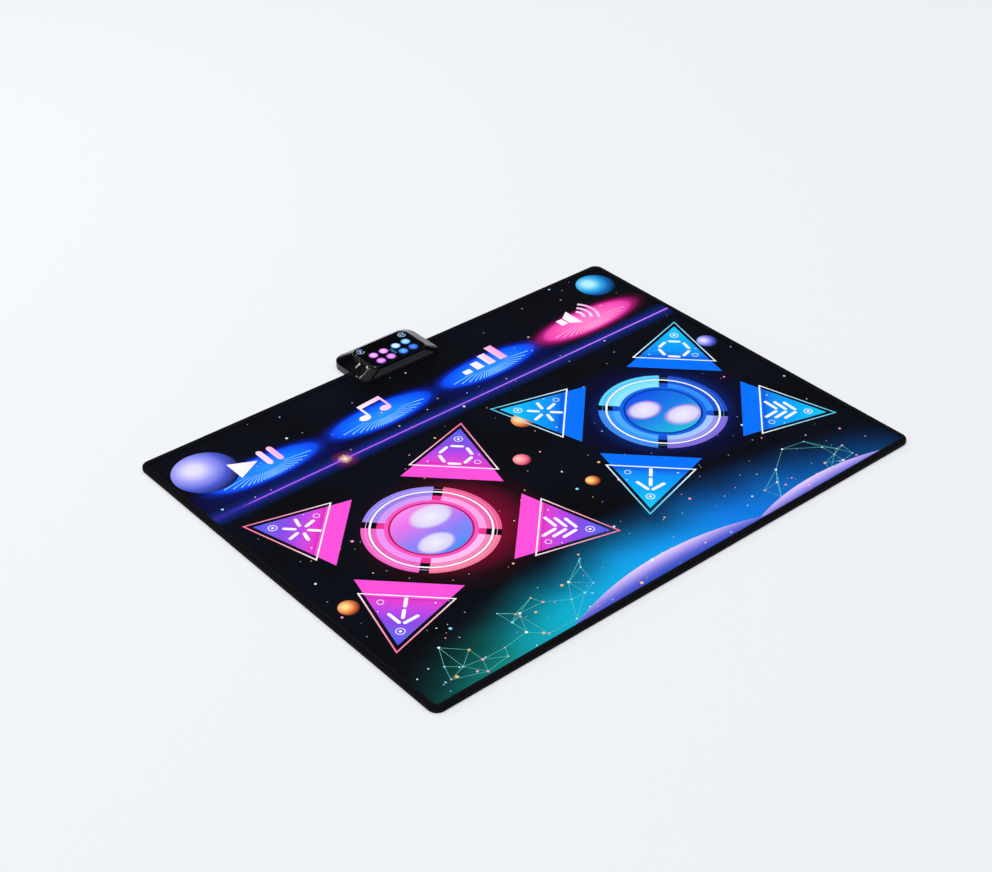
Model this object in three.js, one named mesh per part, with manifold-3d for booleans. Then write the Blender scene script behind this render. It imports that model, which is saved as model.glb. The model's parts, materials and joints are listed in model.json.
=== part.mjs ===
// Electronic dance mat for two players: a layered pressure mat with eight step pads and four
// menu pads, and a light and sound console clamped over its far edge. Millimetres, +Z up.
// The origin is the middle of the mat's underside. X runs along the long edges, to the right for
// a dancer who faces the console, and Y runs towards the console.
import * as THREE from 'three';
import { mergeVertices } from 'three/addons/utils/BufferGeometryUtils.js';
import Module from 'manifold-3d';

const wasm = await Module();
wasm.setup();

// Running room between pieces, and how far a cutting shape runs past what it cuts
const LAYER_GAP = 0.3;
const FIT_GAP = 0.4;
const CUT_OVERRUN = 2;

// Mat corners and edge tape
const MAT_CORNER_RADIUS = 19;
const BINDING_WIDTH = 12;
const BINDING_THICKNESS = 0.8;
const BINDING_LIFT = 0.2;

// Layers of the mat
const BACKING_THICKNESS = 2;
const CUSHION_THICKNESS = 3.2;
const FILM_THICKNESS = 0.4;
const SPACER_THICKNESS = 1.5;
const COVER_THICKNESS = 1;
const FILM_MARGIN = 16;

// Triangular step pads, the room between them, and the margins round them. With the menu pads
// these set the mat's width and depth, 1200 by 900.
const STEP_PAD_INRADIUS = 70.4;
const STEP_PAD_CORNER_RADIUS = 8;
const STEP_PAD_GAP_ACROSS = 90.9;
const STEP_PAD_GAP_ALONG = 26.9;
const PLAY_AREA_GAP = 55.5;
const SIDE_MARGIN = 31.76;
const FRONT_MARGIN = 143.76;

// Menu pads in a row along the console side
const MENU_PAD_DEPTH = 112;
const MENU_PAD_CORNER_RADIUS = 30;
const MENU_PAD_GAP = 30;
const MENU_SIDE_MARGIN = 55;
const MENU_FRONT_GAP = 71.75;
const MENU_REAR_MARGIN = 96;

// Console body. Its width, its reach over the mat and its height follow from what it holds:
// 200 wide, 118 deep and 26 above the cover.
const CONSOLE_TOP_MARGIN = 4;
const CONSOLE_SIDE_SLOPE = 34;
const CONSOLE_FRONT_MARGIN = 8.5;
const CONSOLE_OVERHANG = 58;
const CONSOLE_SKIRT_HEIGHT = 5.7;
const CONSOLE_FRONT_SETBACK = 6;
const CONSOLE_REAR_SETBACK = 30;
const CONSOLE_FRONT_RADIUS = 20;
const CONSOLE_REAR_RADIUS = 28;
const CONSOLE_TOP_RADIUS = 16;
const CONSOLE_EDGE_ROUND = 5;
const CONSOLE_WALL = 2;
const CONSOLE_FLOOR = 2.5;
const CONSOLE_REAR_FLOOR = 3;
const CONSOLE_CLEARANCE_BELOW = 2;

// Signal lights, their reflector and the circuit board
const LIGHT_RADIUS = 10.5;
const LIGHT_PITCH = 26;
const LIGHT_CLUSTER_SPACING = 58;
const LIGHT_SETBACK = 26;
const LIGHT_FLANGE_WIDTH = 1;
const LIGHT_FLANGE_THICKNESS = 1.2;
const LIGHT_PROUD = 0.4;
const REFLECTOR_HEIGHT = 5.7;
const REFLECTOR_MARGIN = 2;
const REFLECTOR_MOUTH_RADIUS = 9.5;
const REFLECTOR_THROAT_RADIUS = 5;
const BOARD_REAR_REACH = 25;
const BOARD_THICKNESS = 1.6;
const BOARD_UNDER_ROOM = 3.8;
const BOARD_POST_INSET = 4;
const BOARD_POST_RADIUS = 3;
const BOARD_POST_SPACING_ALONG = 42;
const DIODE_SIDE = 5;
const DIODE_HEIGHT = 1.6;
const CHIP_SIDE = 12;
const CHIP_HEIGHT = 2.2;
const CONNECTOR_DEPTH = 5;
const CONNECTOR_HEIGHT = 3;

// Ribbon tail of the contact films
const RIBBON_WIDTH = 30;
const RIBBON_THICKNESS = 0.4;
const RIBBON_SETBACK = 25;

// Clamp plate under the mat and its screws
const CLAMP_WIDTH = 116;
const CLAMP_DEPTH = 30;
const CLAMP_CORNER_RADIUS = 5;
const CLAMP_SETBACK = 35;
const CLAMP_SCREW_INSET = 10;
const CLAMP_SCREW_LENGTH = 18;
const CLAMP_BOSS_HEIGHT = 8;

// Screws
const SCREW_RADIUS = 1.5;
const SCREW_HEAD_RADIUS = 2.9;
const SCREW_HEAD_HEIGHT = 1.6;
const SCREW_BOSS_RADIUS = 4;
const CASE_SCREW_LENGTH = 9;
const CASE_SCREW_MARGIN = 10;
const CASE_SCREW_FRONT_INSET = 14;
const CASE_SCREW_REAR_INSET = 24;
const CASE_SCREW_SEAT = 2.7;
const BOARD_SCREW_LENGTH = 7;
const BOARD_SCREW_RADIUS = 1.1;
const BOARD_SCREW_HEAD_RADIUS = 2;
const BOARD_SCREW_HEAD_HEIGHT = 1.2;
const BOARD_SCREW_MARGIN = 1.5;

// Battery bay, three round cells side by side, and its sliding door
const CELL_RADIUS = 5.2;
const CELL_LENGTH = 43.5;
const CELL_NUB_RADIUS = 1.9;
const CELL_NUB_LENGTH = 1;
const CELL_GAP = 0.6;
const BAY_X = 30;
const BAY_WALL = 1.5;
const CONTACT_THICKNESS = 0.5;
const CONTACT_HEIGHT = 9;
const CONTACT_SPRING_LENGTH = 2.1;
const CONTACT_SPRING_RADIUS = 2.6;
const DOOR_THICKNESS = 1.5;
const DOOR_TONGUE = 2;
const DOOR_TONGUE_THICKNESS = 0.7;
const DOOR_LAP = 1;
const DOOR_RIDGE_WIDTH = 26;
const DOOR_RIDGE_DEPTH = 1.4;
const DOOR_RIDGE_HEIGHT = 0.7;
const DOOR_RIDGE_PITCH = 3;
const DOOR_RIDGE_COUNT = 3;

// Speaker, facing down through slots in the overhang
const SPEAKER_X = -45;
const SPEAKER_REAR_INSET = 26;
const SPEAKER_RADIUS = 17;
const SPEAKER_RIM_HEIGHT = 1.6;
const SPEAKER_BASKET_HEIGHT = 9;
const SPEAKER_MAGNET_RADIUS = 8;
const SPEAKER_MAGNET_HEIGHT = 4;
const SPEAKER_WALL = 1.2;
const CONE_THICKNESS = 0.6;
const GRILLE_SLOT_WIDTH = 2;
const GRILLE_SLOT_PITCH = 4.5;
const GRILLE_SLOT_COUNT = 6;

// Power switch in the rear wall
const SWITCH_X = -14;
const SWITCH_TRAVEL = 4;
const SWITCH_KNOB_WIDTH = 5;
const SWITCH_KNOB_HEIGHT = 4;
const SWITCH_KNOB_PROUD = 1;
const SWITCH_BODY_WIDTH = 14;
const SWITCH_BODY_DEPTH = 4.6;
const SWITCH_BODY_HEIGHT = 7;
const SWITCH_LEVEL = 10;

// Rubber feet under the overhang
const FOOT_RADIUS = 6.5;
const FOOT_INSET = 14;
const FOOT_REAR_INSET = 36;

// How finely curves are cut
const CORNER_STEPS = 7;
const PAD_CORNER_STEPS = 5;
const LIGHT_SIDES = 20;
const SCREW_SIDES = 8;
const SPEAKER_SIDES = 16;
const CELL_SIDES = 12;
const EDGE_ROUND_STEPS = 4;
const TRIANGLE_CORNERS = 3;

// Places of the pads, worked out from a pad's apex and base corners
const padCornerReach = 2 * (STEP_PAD_INRADIUS - STEP_PAD_CORNER_RADIUS);
const padOutwardReach = padCornerReach * Math.cos(Math.PI / 4) + STEP_PAD_CORNER_RADIUS;
const padInwardReach = padCornerReach * Math.cos(Math.PI / 12) + STEP_PAD_CORNER_RADIUS;
const padAcross = STEP_PAD_GAP_ACROSS / 2 + padInwardReach;
const padAlong = STEP_PAD_GAP_ALONG / 2 + padInwardReach;
const areaHalfWidth = padAcross + padOutwardReach;
const areaHalfDepth = padAlong + padOutwardReach;
const areaX = PLAY_AREA_GAP / 2 + areaHalfWidth;
const matWidth = 2 * (areaX + areaHalfWidth + SIDE_MARGIN);
const matDepth = FRONT_MARGIN + 2 * areaHalfDepth + MENU_FRONT_GAP + MENU_PAD_DEPTH + MENU_REAR_MARGIN;
const areaY = FRONT_MARGIN + areaHalfDepth - matDepth / 2;
const menuNames = ['play', 'mode', 'level', 'volume'];
const menuRowWidth = matWidth - 2 * MENU_SIDE_MARGIN;
const menuPadWidth = (menuRowWidth - (menuNames.length - 1) * MENU_PAD_GAP) / menuNames.length;
const menuPadY = matDepth / 2 - MENU_REAR_MARGIN - MENU_PAD_DEPTH / 2;

// Heights of the layers, from the floor up
const cushionBottom = BACKING_THICKNESS + LAYER_GAP;
const cushionTop = cushionBottom + CUSHION_THICKNESS;
const lowerFilmBottom = cushionTop + LAYER_GAP;
const lowerFilmTop = lowerFilmBottom + FILM_THICKNESS;
const spacerBottom = lowerFilmTop + LAYER_GAP;
const spacerTop = spacerBottom + SPACER_THICKNESS;
const upperFilmBottom = spacerTop + LAYER_GAP;
const upperFilmTop = upperFilmBottom + FILM_THICKNESS;
const coverBottom = upperFilmTop + LAYER_GAP;
const coverTop = coverBottom + COVER_THICKNESS;
const bindingTop = coverTop + LAYER_GAP + BINDING_THICKNESS;

// Heights and edges of the console. Its Y is counted from the mat's far edge.
const consoleBottom = coverTop + LAYER_GAP;
const consoleFloorTop = consoleBottom + CONSOLE_FLOOR;
const splitLevel = consoleBottom + CONSOLE_SKIRT_HEIGHT;
const rearFloorTop = CONSOLE_CLEARANCE_BELOW + CONSOLE_REAR_FLOOR;
const stepFront = LAYER_GAP;
const stepRear = stepFront + CONSOLE_WALL;
const boardBottom = consoleFloorTop + CLAMP_BOSS_HEIGHT + BOARD_UNDER_ROOM;
const boardTop = boardBottom + BOARD_THICKNESS;
const postTop = boardBottom - LAYER_GAP;
const reflectorBottom = boardTop + LAYER_GAP;
const reflectorTop = reflectorBottom + REFLECTOR_HEIGHT;
const lensBottom = reflectorTop + LAYER_GAP;
const lensFlangeTop = lensBottom + LIGHT_FLANGE_THICKNESS;
const consoleTop = lensFlangeTop + LAYER_GAP + CONSOLE_WALL;

// Plan of the console, from the lights outward
const reflectorHalfWidth = LIGHT_CLUSTER_SPACING / 2 + LIGHT_PITCH / 2 + LIGHT_RADIUS + REFLECTOR_MARGIN;
const reflectorHalfDepth = LIGHT_PITCH / 2 + LIGHT_RADIUS + REFLECTOR_MARGIN;
const boardPostX = reflectorHalfWidth + BOARD_SCREW_MARGIN + BOARD_SCREW_HEAD_RADIUS;
const boardHalfWidth = boardPostX + BOARD_POST_INSET;
const boardFront = -LIGHT_SETBACK - reflectorHalfDepth;
const boardPostFront = boardFront + BOARD_POST_INSET;
const topHalfWidth = boardHalfWidth + CONSOLE_TOP_MARGIN;
const consoleHalfWidth = topHalfWidth + CONSOLE_SIDE_SLOPE;
const consoleFront = boardFront - CONSOLE_FRONT_MARGIN;
const caseScrewX = boardHalfWidth + CASE_SCREW_MARGIN;
const caseScrewFront = consoleFront + CASE_SCREW_FRONT_INSET;
const caseScrewRear = CONSOLE_OVERHANG - CASE_SCREW_REAR_INSET;

const speakerY = CONSOLE_OVERHANG - SPEAKER_REAR_INSET;
const clampScrewX = CLAMP_WIDTH / 2 - CLAMP_SCREW_INSET;

// Battery bay, from the cells outward
const cellPitch = 2 * CELL_RADIUS + CELL_GAP;
const cellLevel = CONSOLE_CLEARANCE_BELOW + DOOR_THICKNESS + FIT_GAP + CELL_RADIUS;
const cellsLong = CELL_LENGTH + CELL_NUB_LENGTH;
const bayInsideWidth = cellsLong + 2 * (CONTACT_SPRING_LENGTH + CONTACT_THICKNESS + 2 * LAYER_GAP);
const bayFront = stepRear;
const bayCellsDepth = 2 * cellPitch + 2 * CELL_RADIUS;
const bayRear = bayFront + bayCellsDepth + 2 * FIT_GAP;
const bayCeiling = cellLevel + CELL_RADIUS + FIT_GAP;
const bayTop = bayCeiling + BAY_WALL;

// Shapes

/** Points of an arc about a centre, from one angle to another. */
function arcPoints(x, y, radius, startAngle, endAngle, steps) {
  return Array.from({ length: steps + 1 }, (_, step) => {
    const angle = startAngle + (endAngle - startAngle) * (step / steps);
    return new THREE.Vector2(x + radius * Math.cos(angle), y + radius * Math.sin(angle));
  });
}

/** A rectangle with round corners, anticlockwise, as points. */
function roundedOutline({ left, right, front, rear, frontRadius, rearRadius }) {
  const quarter = Math.PI / 2;
  return [
    ...arcPoints(right - frontRadius, front + frontRadius, frontRadius, -quarter, 0, CORNER_STEPS),
    ...arcPoints(right - rearRadius, rear - rearRadius, rearRadius, 0, quarter, CORNER_STEPS),
    ...arcPoints(left + rearRadius, rear - rearRadius, rearRadius, quarter, 2 * quarter, CORNER_STEPS),
    ...arcPoints(left + frontRadius, front + frontRadius, frontRadius, -2 * quarter, -quarter, CORNER_STEPS),
  ];
}

/** A centred rectangle with four like corners, grown outward by a margin. */
function centredOutline(width, depth, radius, margin = 0) {
  return roundedOutline({
    left: -width / 2 - margin,
    right: width / 2 + margin,
    front: -depth / 2 - margin,
    rear: depth / 2 + margin,
    frontRadius: radius + margin,
    rearRadius: radius + margin,
  });
}

/** A centred circle as points. */
function circleOutline(radius, sides) {
  return arcPoints(0, 0, radius, 0, 2 * Math.PI, sides).slice(0, sides);
}

/** An equilateral triangle with round corners and its apex towards +Y, grown by a margin. */
function trianglePadOutline(margin) {
  const third = Math.PI / 3;
  return [0, 1, 2].flatMap((corner) => {
    const towards = Math.PI / 2 + 2 * third * corner;
    return arcPoints(
      padCornerReach * Math.cos(towards),
      padCornerReach * Math.sin(towards),
      STEP_PAD_CORNER_RADIUS + margin,
      towards - third,
      towards + third,
      PAD_CORNER_STEPS,
    );
  });
}

/** A menu pad's outline, grown by a margin. */
function menuPadOutline(margin) {
  return centredOutline(menuPadWidth, MENU_PAD_DEPTH, MENU_PAD_CORNER_RADIUS, margin);
}

/** Points turned and moved to a place in the mat. */
function placed(points, { x, y, turn = 0 }) {
  const centre = new THREE.Vector2(x, y);
  const origin = new THREE.Vector2();
  return points.map((point) => point.clone().rotateAround(origin, turn).add(centre));
}

/** A plate between two heights, with holes through it. */
function plate(outline, bottom, top, holes = []) {
  const shape = new THREE.Shape(outline);
  shape.holes = holes.map((hole) => new THREE.Path(hole));
  const geometry = new THREE.ExtrudeGeometry(shape, { depth: top - bottom, bevelEnabled: false });
  return geometry.translate(0, 0, bottom);
}

/** A box between six planes. */
function block({ left, right, front, rear, bottom, top }) {
  const geometry = new THREE.BoxGeometry(right - left, rear - front, top - bottom);
  return geometry.translate((left + right) / 2, (front + rear) / 2, (bottom + top) / 2);
}

/** A solid of revolution about Z. Its profile, radius then height, runs anticlockwise. */
function turned(profile, sides) {
  const points = profile.map(([radius, height]) => new THREE.Vector2(radius, height));
  return new THREE.LatheGeometry(points, sides).rotateX(Math.PI / 2);
}

/** An upright cylinder or cone between two heights. */
function column(bottomRadius, topRadius, bottom, top, sides) {
  return turned([[0, bottom], [bottomRadius, bottom], [topRadius, top], [0, top]], sides);
}

/** A solid through a stack of like outlines, each at its own height. */
function stacked(layers) {
  const count = layers[0].points.length;
  const positions = layers.flatMap(({ points, height }) => points.flatMap(({ x, y }) => [x, y, height]));
  const faces = [];
  for (let layer = 0; layer + 1 < layers.length; layer += 1) {
    for (let side = 0; side < count; side += 1) {
      const next = (side + 1) % count;
      const low = layer * count;
      const high = low + count;
      faces.push(low + side, low + next, high + next, low + side, high + next, high + side);
    }
  }
  const top = (layers.length - 1) * count;
  for (let side = 1; side + 1 < count; side += 1) {
    faces.push(0, side + 1, side);
    faces.push(top, top + side, top + side + 1);
  }
  const geometry = new THREE.BufferGeometry();
  geometry.setAttribute('position', new THREE.Float32BufferAttribute(positions, 3));
  geometry.setIndex(faces);
  return geometry;
}

/** A geometry with each point once and without the slivers at a lathe's poles. */
function merged(geometry) {
  const bare = geometry.clone();
  bare.deleteAttribute('normal');
  bare.deleteAttribute('uv');
  const welded = mergeVertices(bare);
  const faces = [];
  const index = welded.index.array;
  for (let start = 0; start < index.length; start += TRIANGLE_CORNERS) {
    const [a, b, c] = index.slice(start, start + TRIANGLE_CORNERS);
    if (a !== b && b !== c && c !== a) {
      faces.push(a, b, c);
    }
  }
  welded.setIndex(faces);
  return welded;
}

/** A geometry as a solid that can be joined and cut. */
function solid(geometry) {
  const welded = merged(geometry);
  return new wasm.Manifold(new wasm.Mesh({
    numProp: 3,
    vertProperties: new Float32Array(welded.attributes.position.array),
    triVerts: new Uint32Array(welded.index.array),
  }));
}

/** A solid back as a geometry. */
function geometryOf(body) {
  const { vertProperties, triVerts } = body.getMesh();
  const geometry = new THREE.BufferGeometry();
  geometry.setAttribute('position', new THREE.BufferAttribute(vertProperties, 3));
  geometry.setIndex(new THREE.BufferAttribute(triVerts, 1));
  geometry.computeVertexNormals();
  return geometry;
}

/** Several geometries joined into one solid. */
function joined(geometries) {
  return geometries.map(solid).reduce((whole, piece) => whole.add(piece));
}

/** A solid with several geometries cut out of it. */
function cut(body, geometries) {
  return geometries.map(solid).reduce((rest, piece) => rest.subtract(piece), body);
}

// Materials

/** A plain material of one colour. */
function finish(color, roughness, metalness = 0) {
  return new THREE.MeshStandardMaterial({ color, roughness, metalness });
}

const finishes = {
  printedFabric: () => finish('#0b0d1c', 0.6),
  pinkPrint: () => finish('#d845cf', 0.5),
  bluePrint: () => finish('#128bf7', 0.5),
  violetPrint: () => finish('#3f3fc4', 0.5),
  edgeTape: () => finish('#08080b', 0.7),
  contactFilm: () => finish('#c9cdd2', 0.35),
  spacerFoam: () => finish('#e9e6dc', 0.9),
  cushionFoam: () => finish('#5b5e66', 0.9),
  rubber: () => finish('#17181a', 0.85),
  glossBlack: () => finish('#060609', 0.12),
  mattBlack: () => finish('#131317', 0.55),
  pinkLens: () => finish('#ec8cf0', 0.25),
  blueLens: () => finish('#4f9df5', 0.25),
  whitePlastic: () => finish('#eeeef0', 0.5),
  board: () => finish('#1d5a35', 0.5),
  steel: () => finish('#b9bcc0', 0.3, 1),
  brass: () => finish('#c9a552', 0.35, 1),
  cellWrap: () => finish('#2e3138', 0.4),
  paper: () => finish('#2a2a2e', 0.9),
};

/** A named mesh with a finish of its own. */
function named(name, geometry, material) {
  const mesh = new THREE.Mesh(geometry, material);
  mesh.name = name;
  return mesh;
}

// Places of the pads

const playAreas = [
  { side: 'left', x: -areaX, material: finishes.pinkPrint },
  { side: 'right', x: areaX, material: finishes.bluePrint },
];

const padCorners = [
  { corner: 'upper_left', across: -1, along: 1 },
  { corner: 'upper_right', across: 1, along: 1 },
  { corner: 'lower_left', across: -1, along: -1 },
  { corner: 'lower_right', across: 1, along: -1 },
];

const stepPads = playAreas.flatMap(({ side, x, material }) => (
  padCorners.map(({ corner, across, along }) => ({
    name: `${side}_step_pad_${corner}`,
    x: x + across * padAcross,
    y: areaY + along * padAlong,
    turn: Math.atan2(along, across) - Math.PI / 2,
    material,
  }))
));

const menuPads = menuNames.map((menu, index) => ({
  name: `${menu}_menu_pad`,
  x: (index - (menuNames.length - 1) / 2) * (menuPadWidth + MENU_PAD_GAP),
  y: menuPadY,
}));

const clampScrews = [
  { side: 'left', x: -clampScrewX, y: -CLAMP_SETBACK },
  { side: 'right', x: clampScrewX, y: -CLAMP_SETBACK },
];

// Layers of the mat

/** The windows that let each pad travel, as hole outlines. */
function padWindows() {
  return [
    ...stepPads.map((pad) => placed(trianglePadOutline(FIT_GAP), pad)),
    ...menuPads.map((pad) => placed(menuPadOutline(FIT_GAP), pad)),
  ];
}

/** The holes where the clamp screws pass through a layer. */
function clampScrewHoles() {
  const hole = circleOutline(SCREW_RADIUS + FIT_GAP, SCREW_SIDES);
  return clampScrews.map(({ x, y }) => placed(hole, { x, y: matDepth / 2 + y }));
}

/** The slot where the ribbon tail rises, as a hole outline, for the mat's own frame. */
function ribbonSlot(y) {
  const halfWidth = RIBBON_WIDTH / 2 + FIT_GAP;
  const halfDepth = RIBBON_THICKNESS / 2 + FIT_GAP;
  return [
    new THREE.Vector2(-halfWidth, y - halfDepth),
    new THREE.Vector2(halfWidth, y - halfDepth),
    new THREE.Vector2(halfWidth, y + halfDepth),
    new THREE.Vector2(-halfWidth, y + halfDepth),
  ];
}

/** The mat's outline, drawn in from its outer edge. */
function matOutline(inset) {
  return centredOutline(matWidth, matDepth, MAT_CORNER_RADIUS, -inset);
}

const layerInset = BINDING_THICKNESS + LAYER_GAP;

/** The printed cover, with a window for each pad. */
function topSheet() {
  const holes = [...padWindows(), ...clampScrewHoles(), ribbonSlot(matDepth / 2 - RIBBON_SETBACK)];
  const geometry = plate(matOutline(layerInset), coverBottom, coverTop, holes);
  return named('top_sheet', geometry, finishes.printedFabric());
}

/** The upper contact film. It flexes at the pads, where its patches travel with them. */
function upperFilm() {
  const holes = [...padWindows(), ...clampScrewHoles()];
  const geometry = plate(matOutline(FILM_MARGIN), upperFilmBottom, upperFilmTop, holes);
  return named('upper_contact_film', geometry, finishes.contactFilm());
}

/** The foam that holds the two films apart, open under each pad. */
function spacerFoam() {
  const holes = [...padWindows(), ...clampScrewHoles()];
  const geometry = plate(matOutline(layerInset), spacerBottom, spacerTop, holes);
  return named('spacer_foam', geometry, finishes.spacerFoam());
}

/** The lower contact film. */
function lowerFilm() {
  const geometry = plate(matOutline(FILM_MARGIN), lowerFilmBottom, lowerFilmTop, clampScrewHoles());
  return named('lower_contact_film', geometry, finishes.contactFilm());
}

/** The foam that cushions the steps. */
function cushionFoam() {
  const geometry = plate(matOutline(layerInset), cushionBottom, cushionTop, clampScrewHoles());
  return named('cushion_foam', geometry, finishes.cushionFoam());
}

/** The grippy underside, thinner at its hem and open round the clamp plate. */
function antiSlipBacking() {
  const clampWindow = placed(
    centredOutline(CLAMP_WIDTH, CLAMP_DEPTH, CLAMP_CORNER_RADIUS, FIT_GAP),
    { x: 0, y: matDepth / 2 - CLAMP_SETBACK },
  );
  const hemBottom = BINDING_LIFT + BINDING_THICKNESS + LAYER_GAP;
  const whole = joined([
    plate(matOutline(layerInset), hemBottom, BACKING_THICKNESS),
    plate(matOutline(BINDING_WIDTH + FIT_GAP), 0, BACKING_THICKNESS),
  ]);
  const opened = cut(whole, [plate(clampWindow, -CUT_OVERRUN, BACKING_THICKNESS + CUT_OVERRUN)]);
  return named('anti_slip_backing', geometryOf(opened), finishes.rubber());
}

/** The woven tape folded round the edges of all the layers. */
function edgeBinding() {
  const tape = cut(solid(plate(matOutline(0), BINDING_LIFT, bindingTop)), [
    plate(matOutline(BINDING_THICKNESS), BINDING_LIFT + BINDING_THICKNESS, bindingTop - BINDING_THICKNESS),
    plate(matOutline(BINDING_WIDTH), -CUT_OVERRUN, bindingTop + CUT_OVERRUN),
  ]);
  return named('edge_binding', geometryOf(tape), finishes.edgeTape());
}

/** Each pad: its zone of the cover with the contact patch below it. */
function pads() {
  const steps = stepPads.map(({ name, x, y, turn, material }) => {
    const pad = named(name, plate(trianglePadOutline(0), upperFilmBottom, coverTop), material());
    pad.position.set(x, y, 0);
    pad.rotation.z = turn;
    return pad;
  });
  const menus = menuPads.map(({ name, x, y }) => {
    const pad = named(name, plate(menuPadOutline(0), upperFilmBottom, coverTop), finishes.violetPrint());
    pad.position.set(x, y, 0);
    return pad;
  });
  return [...steps, ...menus];
}

// Screws

/** A screw with its head at the bottom and its tip up. A countersunk head is a cone. */
function screw({ headRadius, headHeight, radius, length, countersunk = false }) {
  const profile = [
    [0, 0],
    [headRadius, 0],
    [countersunk ? radius : headRadius, headHeight],
    [radius, headHeight],
    [radius, length - radius],
    [0, length],
  ];
  const corners = profile.filter(([reach, height], index) => {
    const [lastReach, lastHeight] = profile[index - 1] ?? [];
    return reach !== lastReach || height !== lastHeight;
  });
  return turned(corners, SCREW_SIDES);
}

const caseScrewHeadBottom = consoleBottom + CASE_SCREW_SEAT - LAYER_GAP - SCREW_HEAD_HEIGHT;

const caseScrews = [
  { name: 'front_left', x: -caseScrewX, y: caseScrewFront },
  { name: 'front_right', x: caseScrewX, y: caseScrewFront },
  { name: 'rear_left', x: -caseScrewX, y: caseScrewRear },
  { name: 'rear_right', x: caseScrewX, y: caseScrewRear },
];

const boardScrews = [
  { name: 'front_left', x: -boardPostX, y: boardPostFront },
  { name: 'front_right', x: boardPostX, y: boardPostFront },
  { name: 'rear_left', x: -boardPostX, y: boardPostFront + BOARD_POST_SPACING_ALONG },
  { name: 'rear_right', x: boardPostX, y: boardPostFront + BOARD_POST_SPACING_ALONG },
];

// Lights

const clusters = [
  { cluster: 'left', clusterSide: -1, material: finishes.pinkLens },
  { cluster: 'right', clusterSide: 1, material: finishes.blueLens },
];

const clusterPlaces = [
  { place: 'front_left', across: -1, along: -1 },
  { place: 'rear_left', across: -1, along: 1 },
  { place: 'front_right', across: 1, along: -1 },
  { place: 'rear_right', across: 1, along: 1 },
];

const lights = clusters.flatMap(({ cluster, clusterSide, material }) => (
  clusterPlaces.map(({ place, across, along }) => ({
    name: `${cluster}_light_${place}`,
    x: clusterSide * (LIGHT_CLUSTER_SPACING / 2) + across * (LIGHT_PITCH / 2),
    y: -LIGHT_SETBACK + along * (LIGHT_PITCH / 2),
    material,
  }))
));

/** A light's clear button: a flange under the casing and a slightly domed head. */
function lens() {
  return turned([
    [0, lensBottom],
    [LIGHT_RADIUS + LIGHT_FLANGE_WIDTH, lensBottom],
    [LIGHT_RADIUS + LIGHT_FLANGE_WIDTH, lensFlangeTop],
    [LIGHT_RADIUS, lensFlangeTop],
    [LIGHT_RADIUS, consoleTop],
    [0, consoleTop + LIGHT_PROUD],
  ], LIGHT_SIDES);
}

// Console shells

/** The console's plan at a height share between the skirt, 0, and the top face, 1. */
function consoleOutline(riseShare, inset) {
  const mix = (low, high) => low + (high - low) * riseShare;
  return roundedOutline({
    left: -mix(consoleHalfWidth, topHalfWidth) + inset,
    right: mix(consoleHalfWidth, topHalfWidth) - inset,
    front: consoleFront + mix(0, CONSOLE_FRONT_SETBACK) + inset,
    rear: CONSOLE_OVERHANG - mix(0, CONSOLE_REAR_SETBACK) - inset,
    frontRadius: mix(CONSOLE_FRONT_RADIUS, CONSOLE_TOP_RADIUS) - inset,
    rearRadius: mix(CONSOLE_REAR_RADIUS, CONSOLE_TOP_RADIUS) - inset,
  });
}

/** The console's domed upper form, drawn in and lowered by a wall. */
function consoleDome(wall, bottom) {
  const slopeTop = consoleTop - CONSOLE_EDGE_ROUND;
  const slopeReachShare = 1 - CONSOLE_EDGE_ROUND / CONSOLE_REAR_SETBACK;
  const layers = [
    { points: consoleOutline(0, wall), height: bottom - wall },
    { points: consoleOutline(slopeReachShare, wall), height: slopeTop - wall },
  ];
  for (let step = 1; step <= EDGE_ROUND_STEPS; step += 1) {
    const angle = (Math.PI / 2) * (step / EDGE_ROUND_STEPS);
    layers.push({
      points: consoleOutline(slopeReachShare + (1 - slopeReachShare) * (1 - Math.cos(angle)), wall),
      height: slopeTop + CONSOLE_EDGE_ROUND * Math.sin(angle) - wall,
    });
  }
  return stacked(layers);
}

/** The glossy upper casing with its screw bosses and light holes. */
function upperShell() {
  const bottom = splitLevel + LAYER_GAP;
  const outer = solid(consoleDome(0, bottom));
  const bosses = joined(caseScrews.map(({ x, y }) => column(
    SCREW_BOSS_RADIUS, SCREW_BOSS_RADIUS, bottom, consoleTop, SCREW_SIDES,
  ).translate(x, y, 0)));
  const shell = outer.subtract(solid(consoleDome(CONSOLE_WALL, bottom))).add(outer.intersect(bosses));
  const screwTop = caseScrewHeadBottom + SCREW_HEAD_HEIGHT + CASE_SCREW_LENGTH;
  const screwHoles = caseScrews.map(({ x, y }) => column(
    SCREW_RADIUS + LAYER_GAP,
    SCREW_RADIUS + LAYER_GAP,
    bottom - CUT_OVERRUN,
    screwTop + LAYER_GAP,
    SCREW_SIDES,
  ).translate(x, y, 0));
  const lightHoles = lights.map(({ x, y }) => column(
    LIGHT_RADIUS + FIT_GAP, LIGHT_RADIUS + FIT_GAP, lensFlangeTop, consoleTop + CUT_OVERRUN, LIGHT_SIDES,
  ).translate(x, y, 0));
  const opened = cut(shell, [...screwHoles, ...lightHoles]);
  return named('console_upper_shell', geometryOf(opened), finishes.glossBlack());
}

/** A box across the whole console between two Y planes. */
function consoleSlice(front, rear, bottom, top) {
  const half = consoleHalfWidth + CUT_OVERRUN;
  return block({ left: -half, right: half, front, rear, bottom, top });
}

const rearReach = CONSOLE_OVERHANG + CUT_OVERRUN;
const bayLeft = BAY_X - bayInsideWidth / 2;
const bayRight = BAY_X + bayInsideWidth / 2;

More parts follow.
